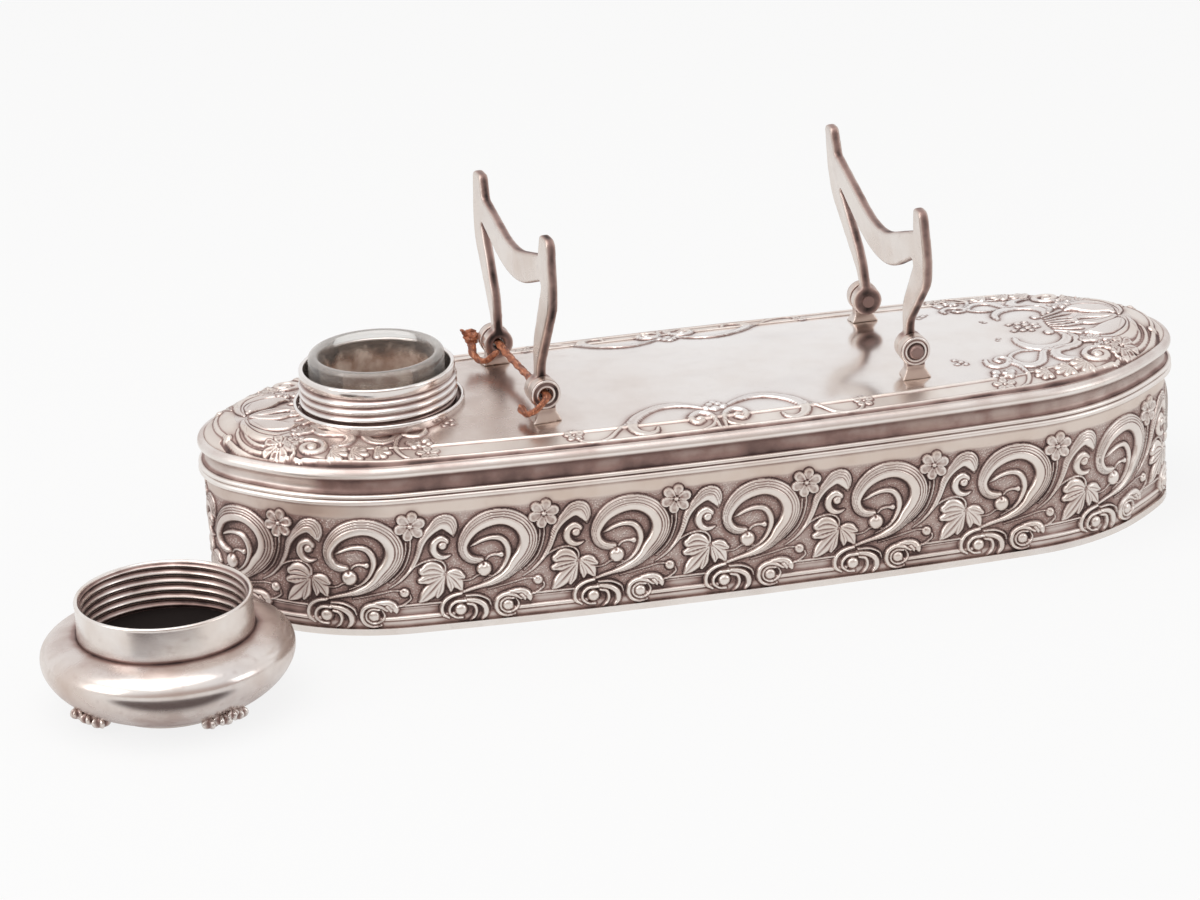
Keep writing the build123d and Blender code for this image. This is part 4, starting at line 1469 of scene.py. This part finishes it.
    def _plate(self, relief: Relief, height: Array, recess: Array) -> None:
        """Make the two halves of the lid's plate: columns of x, each over its own width, holed for the neck.

        Args:
            relief: the drawn front half.
            height: its heights, softened.
            recess: its recess.
        """
        edge = self.plan.loop[self.plan.loop[:, 0] <= self.plan.length / 4 + 1e-6]
        ex = edge[:, 1] - self.PLATE_INSET * np.sin(edge[:, 3])
        ey = -(edge[:, 2] + self.PLATE_INSET * np.cos(edge[:, 3]))
        even, reach = 60.0, float(ex[-1])
        t = np.linspace(0.0, 1.0, int(52.0 / self.step))
        cols = np.concatenate([np.arange(0.0, even, 0.5), even + (reach - even) * np.sin(t * math.pi / 2)])
        rows = int(57.8 / (self.step * 1.1))
        crowded = np.sin(np.linspace(-1, 1, rows) * math.pi / 2 * 0.999)
        share = 0.75 * np.linspace(-1, 1, rows) + 0.25 * crowded / crowded[-1]
        y = np.interp(cols, ex, ey)[:, None] * share[None, :]
        for name, side in (("left", -1), ("right", 1)):
            x = np.repeat(side * cols[:, None], rows, 1)
            z, shade = self._lid_values(relief, height, recess, x, y)
            faces = grid_faces(len(cols), rows)[:, ::-side]
            cx, cy = (each.ravel()[faces].mean(1) for each in (x, y))
            # More film and recess at both ends, and most between the neck and the left rest, where the
            # darkening is painted shade between the parts
            stain = np.interp(
                x, [-120, -100, -58, -48, -30, 0, 90, 110], [0.2, 0.2, 0.3, 0.32, 0.1, 0.02, 0.02, 0.15]
            )
            self.shop.mesh(
                f"lid_plate_{name}", np.stack([x, y, z], -1),
                faces[np.hypot(cx - self.well_x, cy) > 19.0], Body.BOX, POLISHED,
                ("top_plate",) if side > 0 else (), recess=np.clip(shade + 0.45 * stain, 0, 1),
                warm=1.6 * stain,
            )


@dataclass
class Turned:
    """A shape turned about an upright axis.

    Attributes:
        shop: makes the objects.
        x: the axis's x.
        y: the axis's y.
        around: points in a circle.
    """

    shop: Workshop
    x: float
    y: float
    around: int = 256

    def make(
        self, name: str, section: Points, body: Body, finish: Any, replaces: Sequence[str] = (),
        wave: Callable[[Array, Array, Array], Array] | None = None,
        tone: Callable[[Array, Array, Array], Array] | None = None,
    ) -> None:
        """Turn a closed section, up the outside and down the inside.

        Args:
            name: the piece's name.
            section: radius, height and recess of its points.
            body: its body.
            finish: its finish.
            replaces: CAD nodes that it stands for.
            wave: gives the radius from the angle, radius and height, for threads.
            tone: gives the recess from the radius, height and recess.
        """
        radius, height, recess = (np.array(column, float) for column in zip(*section))
        angle = np.arange(self.around)[:, None] * 2 * math.pi / self.around
        r = np.broadcast_to(radius, (self.around, len(radius)))
        z, shade = np.broadcast_to(height, r.shape), np.broadcast_to(recess, r.shape)
        if wave:
            r = wave(angle, r, z)
        if tone:
            shade = tone(r, z, shade)
        points = np.stack([self.x + r * np.cos(angle), self.y + r * np.sin(angle), z], -1)
        faces = grid_faces(self.around, len(radius), True, True)[:, ::-1]
        self.shop.mesh(name, points, faces, body, finish, replaces, recess=shade)


def dense(section: Points, step: float) -> list[Triple]:
    """Straight runs of a section cut into steps no longer than step."""
    points = np.array(section, float)
    gaps = np.linalg.norm(np.diff(points[:, :2], axis=0), axis=1)
    out = []
    for a, b, gap in zip(points, points[1:], gaps):
        count = max(1, math.ceil(gap / step))
        out += (a + (b - a) * np.arange(count)[:, None] / count).tolist()
    out.append(points[-1].tolist())
    return [tuple(p) for p in out]


@dataclass(frozen=True)
class Thread:
    """Coarse right-handed thread: a cosine ridge that fades in and out.

    Attributes:
        low: height where it fades in.
        high: height where it fades out.
        fade: length of the upper fade.
        start: height of a crest at angle 0.
        pitch: height of a turn.
    """

    low: float
    high: float
    fade: float
    start: float
    pitch: float = 2.0

    def ridge(self, angle: Array, z: Array) -> Array:
        """Share of the full ridge, 0 to 1, at places round and up the wall."""
        phase = (z - self.start) / self.pitch - angle / (2 * math.pi)
        fade = np.clip((z - self.low) / 0.6, 0, 1) * np.clip((self.high - z) / self.fade, 0, 1)
        return (0.5 + 0.5 * np.cos(2 * math.pi * phase)) ** 0.75 * fade


@dataclass
class Well:
    """Screwed neck, its flange, the glass and the ink film.

    Attributes:
        shop: makes the objects.
        x: the well's axis.
        thread: thread of the neck.
    """

    shop: Workshop
    x: float = -76.0
    thread: Thread = Thread(46.3, 52.9, 0.6, 46.4)

    def build(self) -> None:
        """Make the pieces of the well."""
        turned = Turned(self.shop, self.x, 0.0)
        self._neck(turned)
        turned.make(
            "neck_collar",
            [(20.3, 44.5, 0.9), (20.3, 45.0, 0.5), (20.32, 45.6, 0.2), (20.4, 46.2, 0.05),
             (20.42, 46.65, 0.0), (20.3, 47.0, 0.0), (20.05, 47.18, 0.0), (19.8, 47.15, 0.0),
             (19.6, 46.95, 0.05), (19.5, 46.6, 0.35), (19.4, 46.1, 0.8), (19.15, 45.76, 1.0),
             (18.7, 45.72, 1.0), (18.32, 45.8, 1.0), (18.3, 44.6, 1.0)],
            Body.BOX, POLISHED, ("neck_flange",),
        )
        self._glass(turned)

    def _neck(self, turned: Turned) -> None:
        """Threaded neck under a plain land, dark in the roots of its thread."""
        def wound(angle: Array, r: Array, z: Array) -> Array:
            return r + np.where(r > 18.0, 0.66 * self.thread.ridge(angle, z), 0.0)

        def roots(r: Array, z: Array, shade: Array) -> Array:
            threaded = (r > 18.0) & (z > self.thread.low) & (z <= self.thread.high)
            return np.where(threaded, np.clip(1 - (r - 18.2) / 0.42, 0, 1) * 0.75, shade)

        outer = dense([(18.2, 44.5, 0.9), (18.2, 52.9, 0.35)], 0.16)
        outer = [(r, z, 0.30 if z > 46.2 else 0.9) for r, z, _ in outer]
        rim = [(18.42, 53.2, 0.1), (18.55, 53.6, 0.0), (18.56, 54.9, 0.0), (18.5, 55.25, 0.0),
               (18.3, 55.45, 0.0), (18.0, 55.5, 0.0), (17.7, 55.45, 0.0), (17.5, 55.25, 0.1),
               (17.45, 54.9, 0.1), (17.45, 42.1, 0.15), (18.15, 42.1, 1.0)]
        turned.make("screw_neck", outer + rim, Body.BOX, POLISHED, ("threaded_neck",), wound, roots)

    def _glass(self, turned: Turned) -> None:
        """Thick glass tumbler with a rounded rim, and the film inside it."""
        rim = [
            (14.98 + 1.22 * math.cos(a), 57.58 + 1.22 * math.sin(a), 0.0) for a in np.linspace(0, math.pi, 13)
        ]
        section = (
            [(0.02, 4.85, 0.0), (15.2, 4.85, 0.0), (16.2, 5.9, 0.0)] + rim
            + [(13.75, 55.0, 0.0), (13.75, 10.2, 0.0), (12.6, 8.95, 0.0), (0.02, 8.85, 0.0)]
        )
        turned.make("glass_well", dense(section, 1.2), Body.GLASS, GLASS, ("glass_liner",))
        film = [(0.02, 8.98, 0.0), (12.5, 9.1, 0.0), (13.62, 10.3, 0.0), (13.66, 57.0, 0.0)]
        inner = [(13.56, 57.0, 0.0), (13.52, 10.4, 0.0), (12.4, 9.2, 0.0), (0.02, 9.08, 0.0)]
        turned.make("ink_film", dense(film, 1.5) + dense(inner, 1.5), Body.GLASS, INK)


@dataclass
class ScrewCap:
    """Bulbous cap standing upside down: bulb, threaded collar, crown and leaf feet.

    Attributes:
        shop: makes the objects.
        x: its axis.
        y: its axis.
        thread: thread inside the collar.
    """

    shop: Workshop
    x: float = -135.8
    y: float = -54.7
    thread: Thread = Thread(15.0, 25.9, 0.5, 15.0)

    FIRST_FOOT = 26.4
    LEAVES = (
        (-10.0, 21.8, 1.9, 3.0), (10.0, 21.8, 1.9, 3.0), (-4.5, 23.6, 1.7, 3.8), (4.8, 23.4, 1.7, 3.8),
        (0.0, 21.4, 2.0, 2.8), (0.0, 25.0, 1.3, 5.0),
    )

    def build(self) -> None:
        """Make the pieces of the cap."""
        turned = Turned(self.shop, self.x, self.y)
        self._bulb(turned)
        self._collar(turned)
        self._feet()
        # The foot's upper edge, where the bulb sits on it, is darkened as painted shade in the crease
        foot = [(0.02, 0.0, 0.2), (15.1, 0.0, 0.2), (15.4, 0.15, 0.1), (15.4, 0.55, 0.0), (15.4, 0.72, 0.8),
                (15.2, 1.2, 1.0), (0.02, 1.2, 1.0)]
        turned.make("cap_foot", foot, Body.CAP, CAPPED, ("cap_crown",))
        self.shop.dress(BLACKENED, "cap_seal")

    def _bulb(self, turned: Turned) -> None:
        """Bulb: a smooth line through its outer points, and the same moved in for the inside; its outer
        recess is painted shade.
        """
        # Recess of the outer points is painted shade: darker on the lower half, which faces the floor, and in
        # the creases at the foot and under the collar
        outer = np.array([
            (15.0, 1.2, 1.0), (17.0, 1.5, 0.75), (20.2, 2.7, 0.45), (23.6, 4.7, 0.34), (26.6, 7.4, 0.24),
            (28.5, 10.3, 0.14), (29.05, 12.6, 0.08), (28.6, 14.8, 0.05), (27.0, 16.5, 0.10),
            (24.6, 17.5, 0.18), (22.3, 17.95, 0.28), (21.1, 18.0, 0.6), (20.35, 18.0, 1.0),
        ])
        line = smooth_line(outer, 0.6)
        inside = line[::-1].copy()
        inside[:, 0] = np.maximum(inside[:, 0] - 1.0, 14.2)
        inside[:, 1] = np.clip(inside[:, 1], 2.2, 17.0)
        inside[:, 2] = 1.0
        section = [tuple(p) for p in np.concatenate([line, inside]).tolist()]
        turned.make("cap_bulb", section, Body.CAP, CAPPED, ("cap_shell",))

    def _collar(self, turned: Turned) -> None:
        """Collar with a rolled rim, threaded inside and dark in the grooves, with painted shade deeper
        inside, and the floor behind it.
        """
        def wound(angle: Array, r: Array, z: Array) -> Array:
            return r - np.where(r < 19.5, 0.62 * self.thread.ridge(angle, z), 0.0)

        def grooves(r: Array, z: Array, shade: Array) -> Array:
            # Darker in the thread's grooves, and painted shade towards the bottom of the collar's inside
            groove = np.clip((r - 18.75) / 0.42, 0, 1) * 0.85 + 0.06 + np.clip((16.5 - z) / 2, 0, 1)
            return np.where((r < 19.4) & (z < 26.0), np.clip(groove, 0, 1), shade)

        outside = [(20.25, 12.0, 1.0), (20.25, 17.9, 1.0), (20.3, 18.25, 0.75), (20.25, 18.8, 0.15),
                   (20.2, 20.0, 0.0), (20.2, 24.4, 0.0), (20.3, 25.6, 0.0), (20.32, 26.1, 0.0),
                   (20.15, 26.42, 0.0), (19.85, 26.5, 0.0), (19.55, 26.42, 0.0), (19.4, 26.15, 0.1)]
        inner = [(r, z, 0.5) for r, z, _ in dense([(19.25, 25.9, 0.5), (19.25, 12.0, 1.0)], 0.16)]
        turned.make("cap_thread", outside + inner, Body.CAP, CAPPED, ("cap_collar",), wound, grooves)
        backing = [(0.02, 11.6, 1.0), (19.3, 11.6, 1.0), (19.3, 12.3, 1.0), (0.02, 12.3, 1.0)]
        turned.make("cap_backing", backing, Body.CAP, BLACKENED)

    def _feet(self) -> None:
        """Four cast clusters of leaves under the bulb: lobed balls, flattened and set round the crown."""
        u, v = np.meshgrid(np.linspace(0, 2 * math.pi, 40, endpoint=False), np.linspace(0.0, math.pi, 21))
        points, faces, shade = [], [], []
        for quarter in range(4):
            for k, (turn, out, size, lift) in enumerate(self.LEAVES):
                lobes = 1 + 0.27 * np.cos(5 * u + k) * np.sin(v) ** 2
                r = size * lobes
                a = math.radians(self.FIRST_FOOT + 90 * quarter + turn)
                x = self.x + out * math.cos(a) + r * np.sin(v) * np.cos(u)
                y = self.y + out * math.sin(a) + r * np.sin(v) * np.sin(u)
                z = np.maximum(lift + 0.8 * r * np.cos(v), 0.35)
                points.append(np.stack([x, y, z], -1).reshape(-1, 3))
                faces.append(grid_faces(*u.shape, False, True) + u.size * (len(points) - 1))
                shade.append(np.clip(0.35 - 2.2 * (lobes - 1), 0, 1).ravel())
        self.shop.mesh(
            "cap_leaf_feet", np.concatenate(points), np.concatenate(faces)[:, ::-1], Body.CAP, CAPPED,
            ("cap_ornaments",), recess=np.concatenate(shade),
        )


@dataclass
class PenRests:
    """Two lyre-shaped rests, their lugs and pins, and the thong that ties the left one.

    Attributes:
        shop: makes the objects.
        pivot: height of the hinge axes.
        left: place and turn of the left hinge, and the lean of its rest.
        right: place and turn of the right hinge, and the lean of its rest.
        lug_face: outer face of a lug from the middle.
        wrap: radius at which the thong goes round a lug.
    """

    shop: Workshop
    pivot: float = 50.9
    left: Triple = (-41.9, 6.0, 1.1)
    right: Triple = (49.3, 2.3, -3.3)
    lug_face: float = 22.0
    wrap: float = 4.45

    def build(self) -> None:
        """Make the rests, dress their fittings and tie the thong."""
        self._cast("left_lyre", "left_pen_rest", Body.LEFT_REST)
        self._cast("right_lyre", "right_pen_rest", Body.RIGHT_REST)
        for hinge, name in ((self.left, "left"), (self.right, "right")):
            for side in (-1, 1):
                where = "front" if side < 0 else "rear"
                self._cast(f"{name}_{where}_knuckle", f"{name}_{where}_lug", Body.BOX, 0.22)
                self._rosette(f"{name}_{where}_rosette", hinge, side, name == "right")
        self.shop.dress(PINNED, "right_front_pin", "right_rear_pin")
        self._thong()

    @staticmethod
    def _skin(node: str, voxel: float) -> tuple[Array, Array, Array]:
        """Wrap a CAD solid in one skin of even cells.

        Args:
            node: the CAD node.
            voxel: size of a cell.

        Returns:
            Points in millimetres, faces of four and edges.
        """
        piece = bpy.data.objects.new("skin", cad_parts[node].data.copy())
        bpy.context.scene.collection.objects.link(piece)
        weld = piece.modifiers.new("weld", "WELD")
        weld.merge_threshold = 0.00001
        skin = piece.modifiers.new("skin", "REMESH")
        skin.mode = "VOXEL"
        skin.voxel_size = voxel * MM
        graph = bpy.context.evaluated_depsgraph_get()
        even = bpy.data.meshes.new_from_object(piece.evaluated_get(graph))
        bpy.data.objects.remove(piece)
        points = read(even.vertices, "co", 3, np.float64) / MM
        faces = read(even.loops, "vertex_index", 1, np.int32).reshape(-1, 4)
        return points, faces, read(even.edges, "vertices", 2, np.int32)

    def _cast(self, name: str, node: str, body: Body, voxel: float = 0.3) -> None:
        """Copy a CAD solid as a cast one, rubbed soft and darker where it is hollow, with painted shade on
        the rests' thickness edges and the lugs' faces.

        Args:
            name: the piece's name.
            node: the CAD node that it stands for.
            body: its body.
            voxel: size of a cell of its skin.
        """
        points, faces, edges = self._skin(node, voxel)
        a, b = edges.T
        count = len(points)
        degree = np.bincount(a, minlength=count) + np.bincount(b, minlength=count)

        def mean(values: Array) -> Array:
            columns = [
                np.bincount(a, column[b], count) + np.bincount(b, column[a], count) for column in values.T
            ]
            return np.stack(columns, 1) / degree[:, None]

        def spread(values: Array, times: int) -> Array:
            for _ in range(times):
                values = mean(values)
            return values

        soft = points
        for _ in range(3):
            soft = 0.5 * soft + 0.5 * mean(soft)
        normal = self._normals(soft, faces)
        # Darker in hollows, like ambient occlusion: tarnish and painted shade
        hollow = ((spread(soft, 14) - soft) * normal).sum(1)[:, None] / (voxel * 1.4)
        shade = spread(np.clip(hollow, 0, 1), 3)[:, 0]
        rub = spread(np.clip(-hollow, 0, 1), 2)[:, 0]
        # The rests' thickness edges, picked by the normal's direction, are darker: tarnish and painted shade
        edge = np.clip(1.15 - 1.3 * np.abs(normal @ self._across(body)), 0, 1)[:, None]
        edge = spread(edge, 2)[:, 0]
        flat = edge
        # Painted shade on the lugs' flat faces above the pivot
        if body is Body.BOX:
            _, axes = self._hinge(self.left if name.startswith("left") else self.right)
            face = np.abs(normal @ axes[1])
            flat = 0.12 + 0.9 * face**3 * (soft[:, 2] > self.pivot - 3.6)
        tone = np.clip(shade * 1.3 + 0.95 * flat * (1 - 0.85 * rub), 0, 1)
        self.shop.mesh(name, soft, faces, body, WORN, (node,), recess=tone, warm=0.25 + 0.5 * edge)

    def _across(self, body: Body) -> Array:
        """Direction square to a rest's flat faces; that of the left rest also serves the lugs."""
        _, turn, lean = self.right if body is Body.RIGHT_REST else self.left
        t, n = math.radians(turn), math.radians(lean)
        return np.array([math.cos(t) * math.cos(n), math.sin(t) * math.cos(n), -math.sin(n)])

    @staticmethod
    def _normals(points: Array, faces: Array) -> Array:
        """Unit normals of the points: the sum of their faces' cross products of diagonals."""
        a, b, c, d = (points[faces[:, k]] for k in range(4))
        across = np.cross(c - a, d - b)
        total = np.zeros_like(points)
        for k in range(4):
            for axis in range(3):
                total[:, axis] += np.bincount(faces[:, k], across[:, axis], len(points))
        return total / (np.linalg.norm(total, axis=1)[:, None] + 1e-12)

    def _hinge(self, hinge: Triple) -> tuple[Array, Array]:
        """Origin of a hinge, and its axes as rows."""
        x, turn, _ = hinge
        c, s = math.cos(math.radians(turn)), math.sin(math.radians(turn))
        return np.array([x, 0.0, self.pivot]), np.array([[c, s, 0.0], [-s, c, 0.0], [0.0, 0.0, 1.0]])

    def _rosette(self, name: str, hinge: Triple, side: int, pinned: bool) -> None:
        """Turned steps on a lug's outer face, about the hinge axis.

        Args:
            name: the piece's name.
            hinge: place, turn and lean of the hinge.
            side: 1 for the rear lug, -1 for the front one.
            pinned: whether a pin fills the hole.
        """
        low, around = 2.0 if pinned else 1.6, 64
        section = np.array([
            (low, -0.3, 1.0), (low, 0.1, 0.8), (low + 0.25, 0.3, 0.1), (low + 0.55, 0.32, 0.0),
            (low + 0.75, 0.12, 0.9), (2.95, 0.1, 0.8), (3.1, 0.26, 0.1), (3.35, 0.3, 0.0), (3.55, 0.12, 0.2),
            (3.62, -0.3, 0.8),
        ])
        angle = np.arange(around) * 2 * math.pi / around
        origin, axes = self._hinge(hinge)
        r, out = section[:, 0], section[:, 1] + self.lug_face
        ring = (around, len(r))
        local = np.stack(
            [np.outer(np.cos(angle), r), np.broadcast_to(side * out, ring), np.outer(np.sin(angle), r)], -1
        )
        self.shop.mesh(
            name, origin + local @ axes, grid_faces(*ring, True, True)[:, ::-side], Body.BOX, WORN,
            recess=np.broadcast_to(section[:, 2], ring),
        )

    def _tube(
        self, name: str, route: Sequence[tuple[float, ...]], radius: float, nodes: tuple[str, ...] = (),
        taper: float = 0.75,
    ) -> None:
        """Lay a piece of thong, oval, lobed and slowly twisted.

        Args:
            name: the piece's name.
            route: its points, in shares of the wrap radius and the lug's face.
            radius: its half-thickness.
            nodes: CAD nodes that it stands for.
            taper: share of the radius at its ends.
        """
        step, around, twist = 0.3, 14, 0.45
        local = np.array(route, float) * np.array([self.wrap, self.lug_face, self.wrap])
        line = smooth_line(np.concatenate([local, np.zeros((len(local), 1))], 1), step)[:, :3]
        tangent = np.gradient(line, axis=0)
        tangent /= np.linalg.norm(tangent, axis=1)[:, None]
        side = np.cross(tangent, [0.18, 0.31, 0.93])
        side /= np.linalg.norm(side, axis=1)[:, None]
        other = np.cross(tangent, side)
        angle = np.arange(around) * 2 * math.pi / around
        run = np.arange(len(line))
        lobes = 1 + 0.16 * np.cos(3 * (angle[None, :] + twist * step * run[:, None]))
        ends = np.clip(np.minimum(run, run[::-1]) / 3.0, taper, 1)
        ends[0] = ends[-1] = 0.05
        size = (radius * ends[:, None] * lobes)[..., None]
        wide, thin = np.cos(angle)[None, :, None], 0.68 * np.sin(angle)[None, :, None]
        points = line[:, None] + size * (wide * side[:, None] + thin * other[:, None])
        origin, axes = self._hinge(self.left)
        faces = grid_faces(len(line), around, False, True)
        self.shop.mesh(name, origin + points @ axes, faces, Body.BOX, THONG_LEATHER, nodes)

    def _thong(self) -> None:
        """Thong through both hinges, its loop round the rear lug, the knot and its frayed ends."""
        self._tube(
            "thong_run",
            [(-0.81, 1.105, -0.02), (-0.38, 1.095, 0.02), (0.0, 1.04, 0.0), (0.02, 0.932, 0.01),
             (0.0, 0.705, 0.0), (-0.02, 0.364, -0.07), (0.02, -0.091, -0.09), (0.01, -0.5, -0.045),
             (0.0, -0.75, 0.0), (0.01, -0.936, 0.0), (-0.07, -1.055, -0.07), (-0.52, -1.086, -0.45),
             (-0.99, -1.032, -0.88), (-1.17, -0.918, -0.94), (-1.12, -0.8, -0.76)],
            1.02, ("left_tie",),
        )
        self._tube(
            "thong_loop",
            [(-1.1, 1.055, -0.22), (-1.24, 0.95, -0.58), (-1.17, 0.823, -0.83), (-0.94, 0.691, -0.79),
             (-0.54, 0.636, -0.47), (-0.2, 0.609, -0.16)],
            1.02, ("left_tie_loop",),
        )
        knot = (-1.03, 1.105, -0.02)
        turn = np.linspace(0, 2 * math.pi, 13)
        for k, (tilt, size) in enumerate(((0.0, 0.25), (1.05, 0.27), (2.1, 0.24))):
            ring = [
                (knot[0] + size * math.cos(a) * math.cos(tilt), knot[1] + 0.045 * math.sin(a),
                 knot[2] + size * math.cos(a) * math.sin(tilt) + 0.12 * math.sin(a))
                for a in turn
            ]
            self._tube(f"thong_knot_{k + 1}", ring, 1.0, ("left_tie_knot",) if k == 0 else (), 0.9)
        ends = [
            [(-1.3, 1.12, 0.18), (-1.62, 1.13, 0.44)],
            [(-1.32, 1.10, 0.10), (-1.56, 1.10, 0.50)],
            [(-1.12, 1.115, -0.34), (-1.20, 1.12, -0.64)],
            [(-1.05, 1.10, -0.30), (-1.06, 1.11, -0.58)],
        ]
        for k, route in enumerate(ends):
            self._tube(f"thong_end_{k + 1}", [knot] + route, 0.72, (), 0.6)


@dataclass
class Studio:
    """Pale floor, soft lamps, a pale surround and the camera.

    Attributes:
        camera_place: where the camera stands.
        heading: its azimuth in degrees, from +Y towards +X.
        elevation: how far it looks down, in degrees.
        roll: its roll in degrees.
        lens: focal length in millimetres on a 36 mm sensor.
    """

    camera_place: Triple = (-217.42, -1004.52, 426.80)
    heading: float = 10.946
    elevation: float = 21.357
    roll: float = -2.825
    lens: float = 136.58

    WHITE = (0.985, 0.985, 0.985, 1.0)
    # Colour of the painted reflection on the floor, seen only by gloss rays
    PAINTED_REFLECTION = (0.10, 0.075, 0.075, 1.0)

    def build(self) -> None:
        """Set up everything round the object."""
        self._camera()
        self._world()
        self._floor()
        self._lamp("high_soft", (-250, -150, 900), (0, 0, 30), 900, 4.0, (1.0, 0.985, 0.97))
        self._lamp("left_soft", (-900, -350, 420), (-30, 0, 30), 520, 1.7, (1.0, 0.98, 0.96))
        self._lamp("right_soft", (800, -500, 380), (30, 0, 30), 420, 0.8, (0.97, 0.985, 1.0))

    def _camera(self) -> None:
        """Camera turned by heading, elevation and roll."""
        az, el, roll = (math.radians(a) for a in (self.heading, self.elevation, self.roll))
        ahead = np.array([math.sin(az) * math.cos(el), math.cos(az) * math.cos(el), -math.sin(el)])
        right = np.array([math.cos(az), -math.sin(az), 0.0])
        up = np.cross(right, ahead)
        right, up = (
            right * math.cos(roll) + up * math.sin(roll), -right * math.sin(roll) + up * math.cos(roll)
        )
        data = bpy.data.cameras.new("camera")
        data.lens = self.lens
        data.sensor_width = 36.0
        data.clip_start = 0.01
        data.clip_end = 50.0
        camera = bpy.data.objects.new("camera", data)
        axes = np.stack([right, up, -ahead], 1)
        place = Matrix.Translation(Vector(self.camera_place) * MM)
        camera.matrix_world = place @ Matrix(axes.tolist()).to_4x4()
        bpy.context.scene.collection.objects.link(camera)
        bpy.context.scene.camera = camera

    def _world(self) -> None:
        """Surround: white for the camera, for gloss white above and behind, warm grey low in front."""
        world = bpy.data.worlds.new("surround")
        bpy.context.scene.world = world
        world.use_nodes = True
        g = Graph(world.node_tree)
        x, y, z = g.axes("Generated")
        front = (0.0 - y * 0.9 - z * 1.15 + x * 0.12).above(-0.25, 0.75)
        gloss = g.mix(front, (0.97, 0.975, 0.985, 1.0), (0.50, 0.41, 0.375, 1.0))
        camera, glossy, through = g.rays("Camera", "Glossy", "Transmission")
        seen = g.mix(glossy, (0.62, 0.615, 0.61, 1.0), gloss)
        colour = g.mix((camera + through).clamp(), seen, self.WHITE)
        shader = g.node("ShaderNodeBackground", {}, {"Color": colour, "Strength": 1.0})
        g.surface(shader, "ShaderNodeOutputWorld")

    def _floor(self) -> None:
        """White floor with a soft shadow, and a dark patch on it that only gloss rays see: a painted
        reflection for the cap.
        """
        side = np.linspace(-3000.0, 3000.0, 13)
        x, y = np.meshgrid(side, side)
        points = np.stack([x, y, np.full_like(x, -0.02)], -1).reshape(-1, 3) * MM
        mesh = bpy.data.meshes.new("floor")
        mesh.from_pydata(points.tolist(), [], grid_faces(*x.shape).tolist())
        mesh.update()
        material, g = new_material("floor_white")
        camera, through, glossy = g.rays("Camera", "Transmission", "Glossy")
        share = ((camera + through) * 0.86 + glossy * 0.55).clamp()
        x, y, _ = g.axes()
        # Painted reflection: a dark oval on the floor in front of the cap, seen only by gloss rays, so the
        # cap's bulb shows a dark reflection
        u, v = (x + 0.143) * 21.0, (y + 0.103) * 46.0
        painted_reflection = (1.0 - u * u - v * v).above(0.0, 0.6) * glossy
        paper = g.mix(g.noise(6.0, 2.0), (0.80, 0.80, 0.80, 1.0), (0.82, 0.82, 0.82, 1.0))
        base = g.node("ShaderNodeBsdfDiffuse", {}, {"Color": g.mix(painted_reflection, paper, self.PAINTED_REFLECTION)})
        lit = {"Color": g.mix(painted_reflection, self.WHITE, self.PAINTED_REFLECTION), "Strength": 1.0}
        g.surface(g.blend(share, base, g.node("ShaderNodeEmission", {}, lit)))
        mesh.materials.append(material)
        floor = bpy.data.objects.new("floor", mesh)
        bpy.context.scene.collection.objects.link(floor)

    @staticmethod
    def _lamp(name: str, place: Triple, aim: Triple, size: float, power: float, colour: Triple) -> None:
        """Add a square soft lamp.

        Args:
            name: its name.
            place: where it hangs.
            aim: what it points at.
            size: length of its side.
            power: watts.
            colour: its light.
        """
        data = bpy.data.lights.new(name, "AREA")
        data.shape = "SQUARE"
        data.size = size * MM
        data.energy = power
        data.color = colour
        lamp = bpy.data.objects.new(name, data)
        here, there = Vector(place) * MM, Vector(aim) * MM
        turned = (there - here).to_track_quat("-Z", "Y").to_matrix().to_4x4()
        lamp.matrix_world = Matrix.Translation(here) @ turned
        bpy.context.scene.collection.objects.link(lamp)


def main() -> None:
    """Build the inkwell and its studio, in order."""
    logging.basicConfig(level=logging.INFO, format="%(message)s")
    bpy.context.scene.view_settings.view_transform = "Standard"
    shop = Workshop()
    plan = Plan()
    BoxBody(shop, plan, Lid(plan), step=0.25).build()
    Well(shop).build()
    PenRests(shop).build()
    ScrewCap(shop).build()
    Studio().build()


if __name__ == "__main__":
    main()
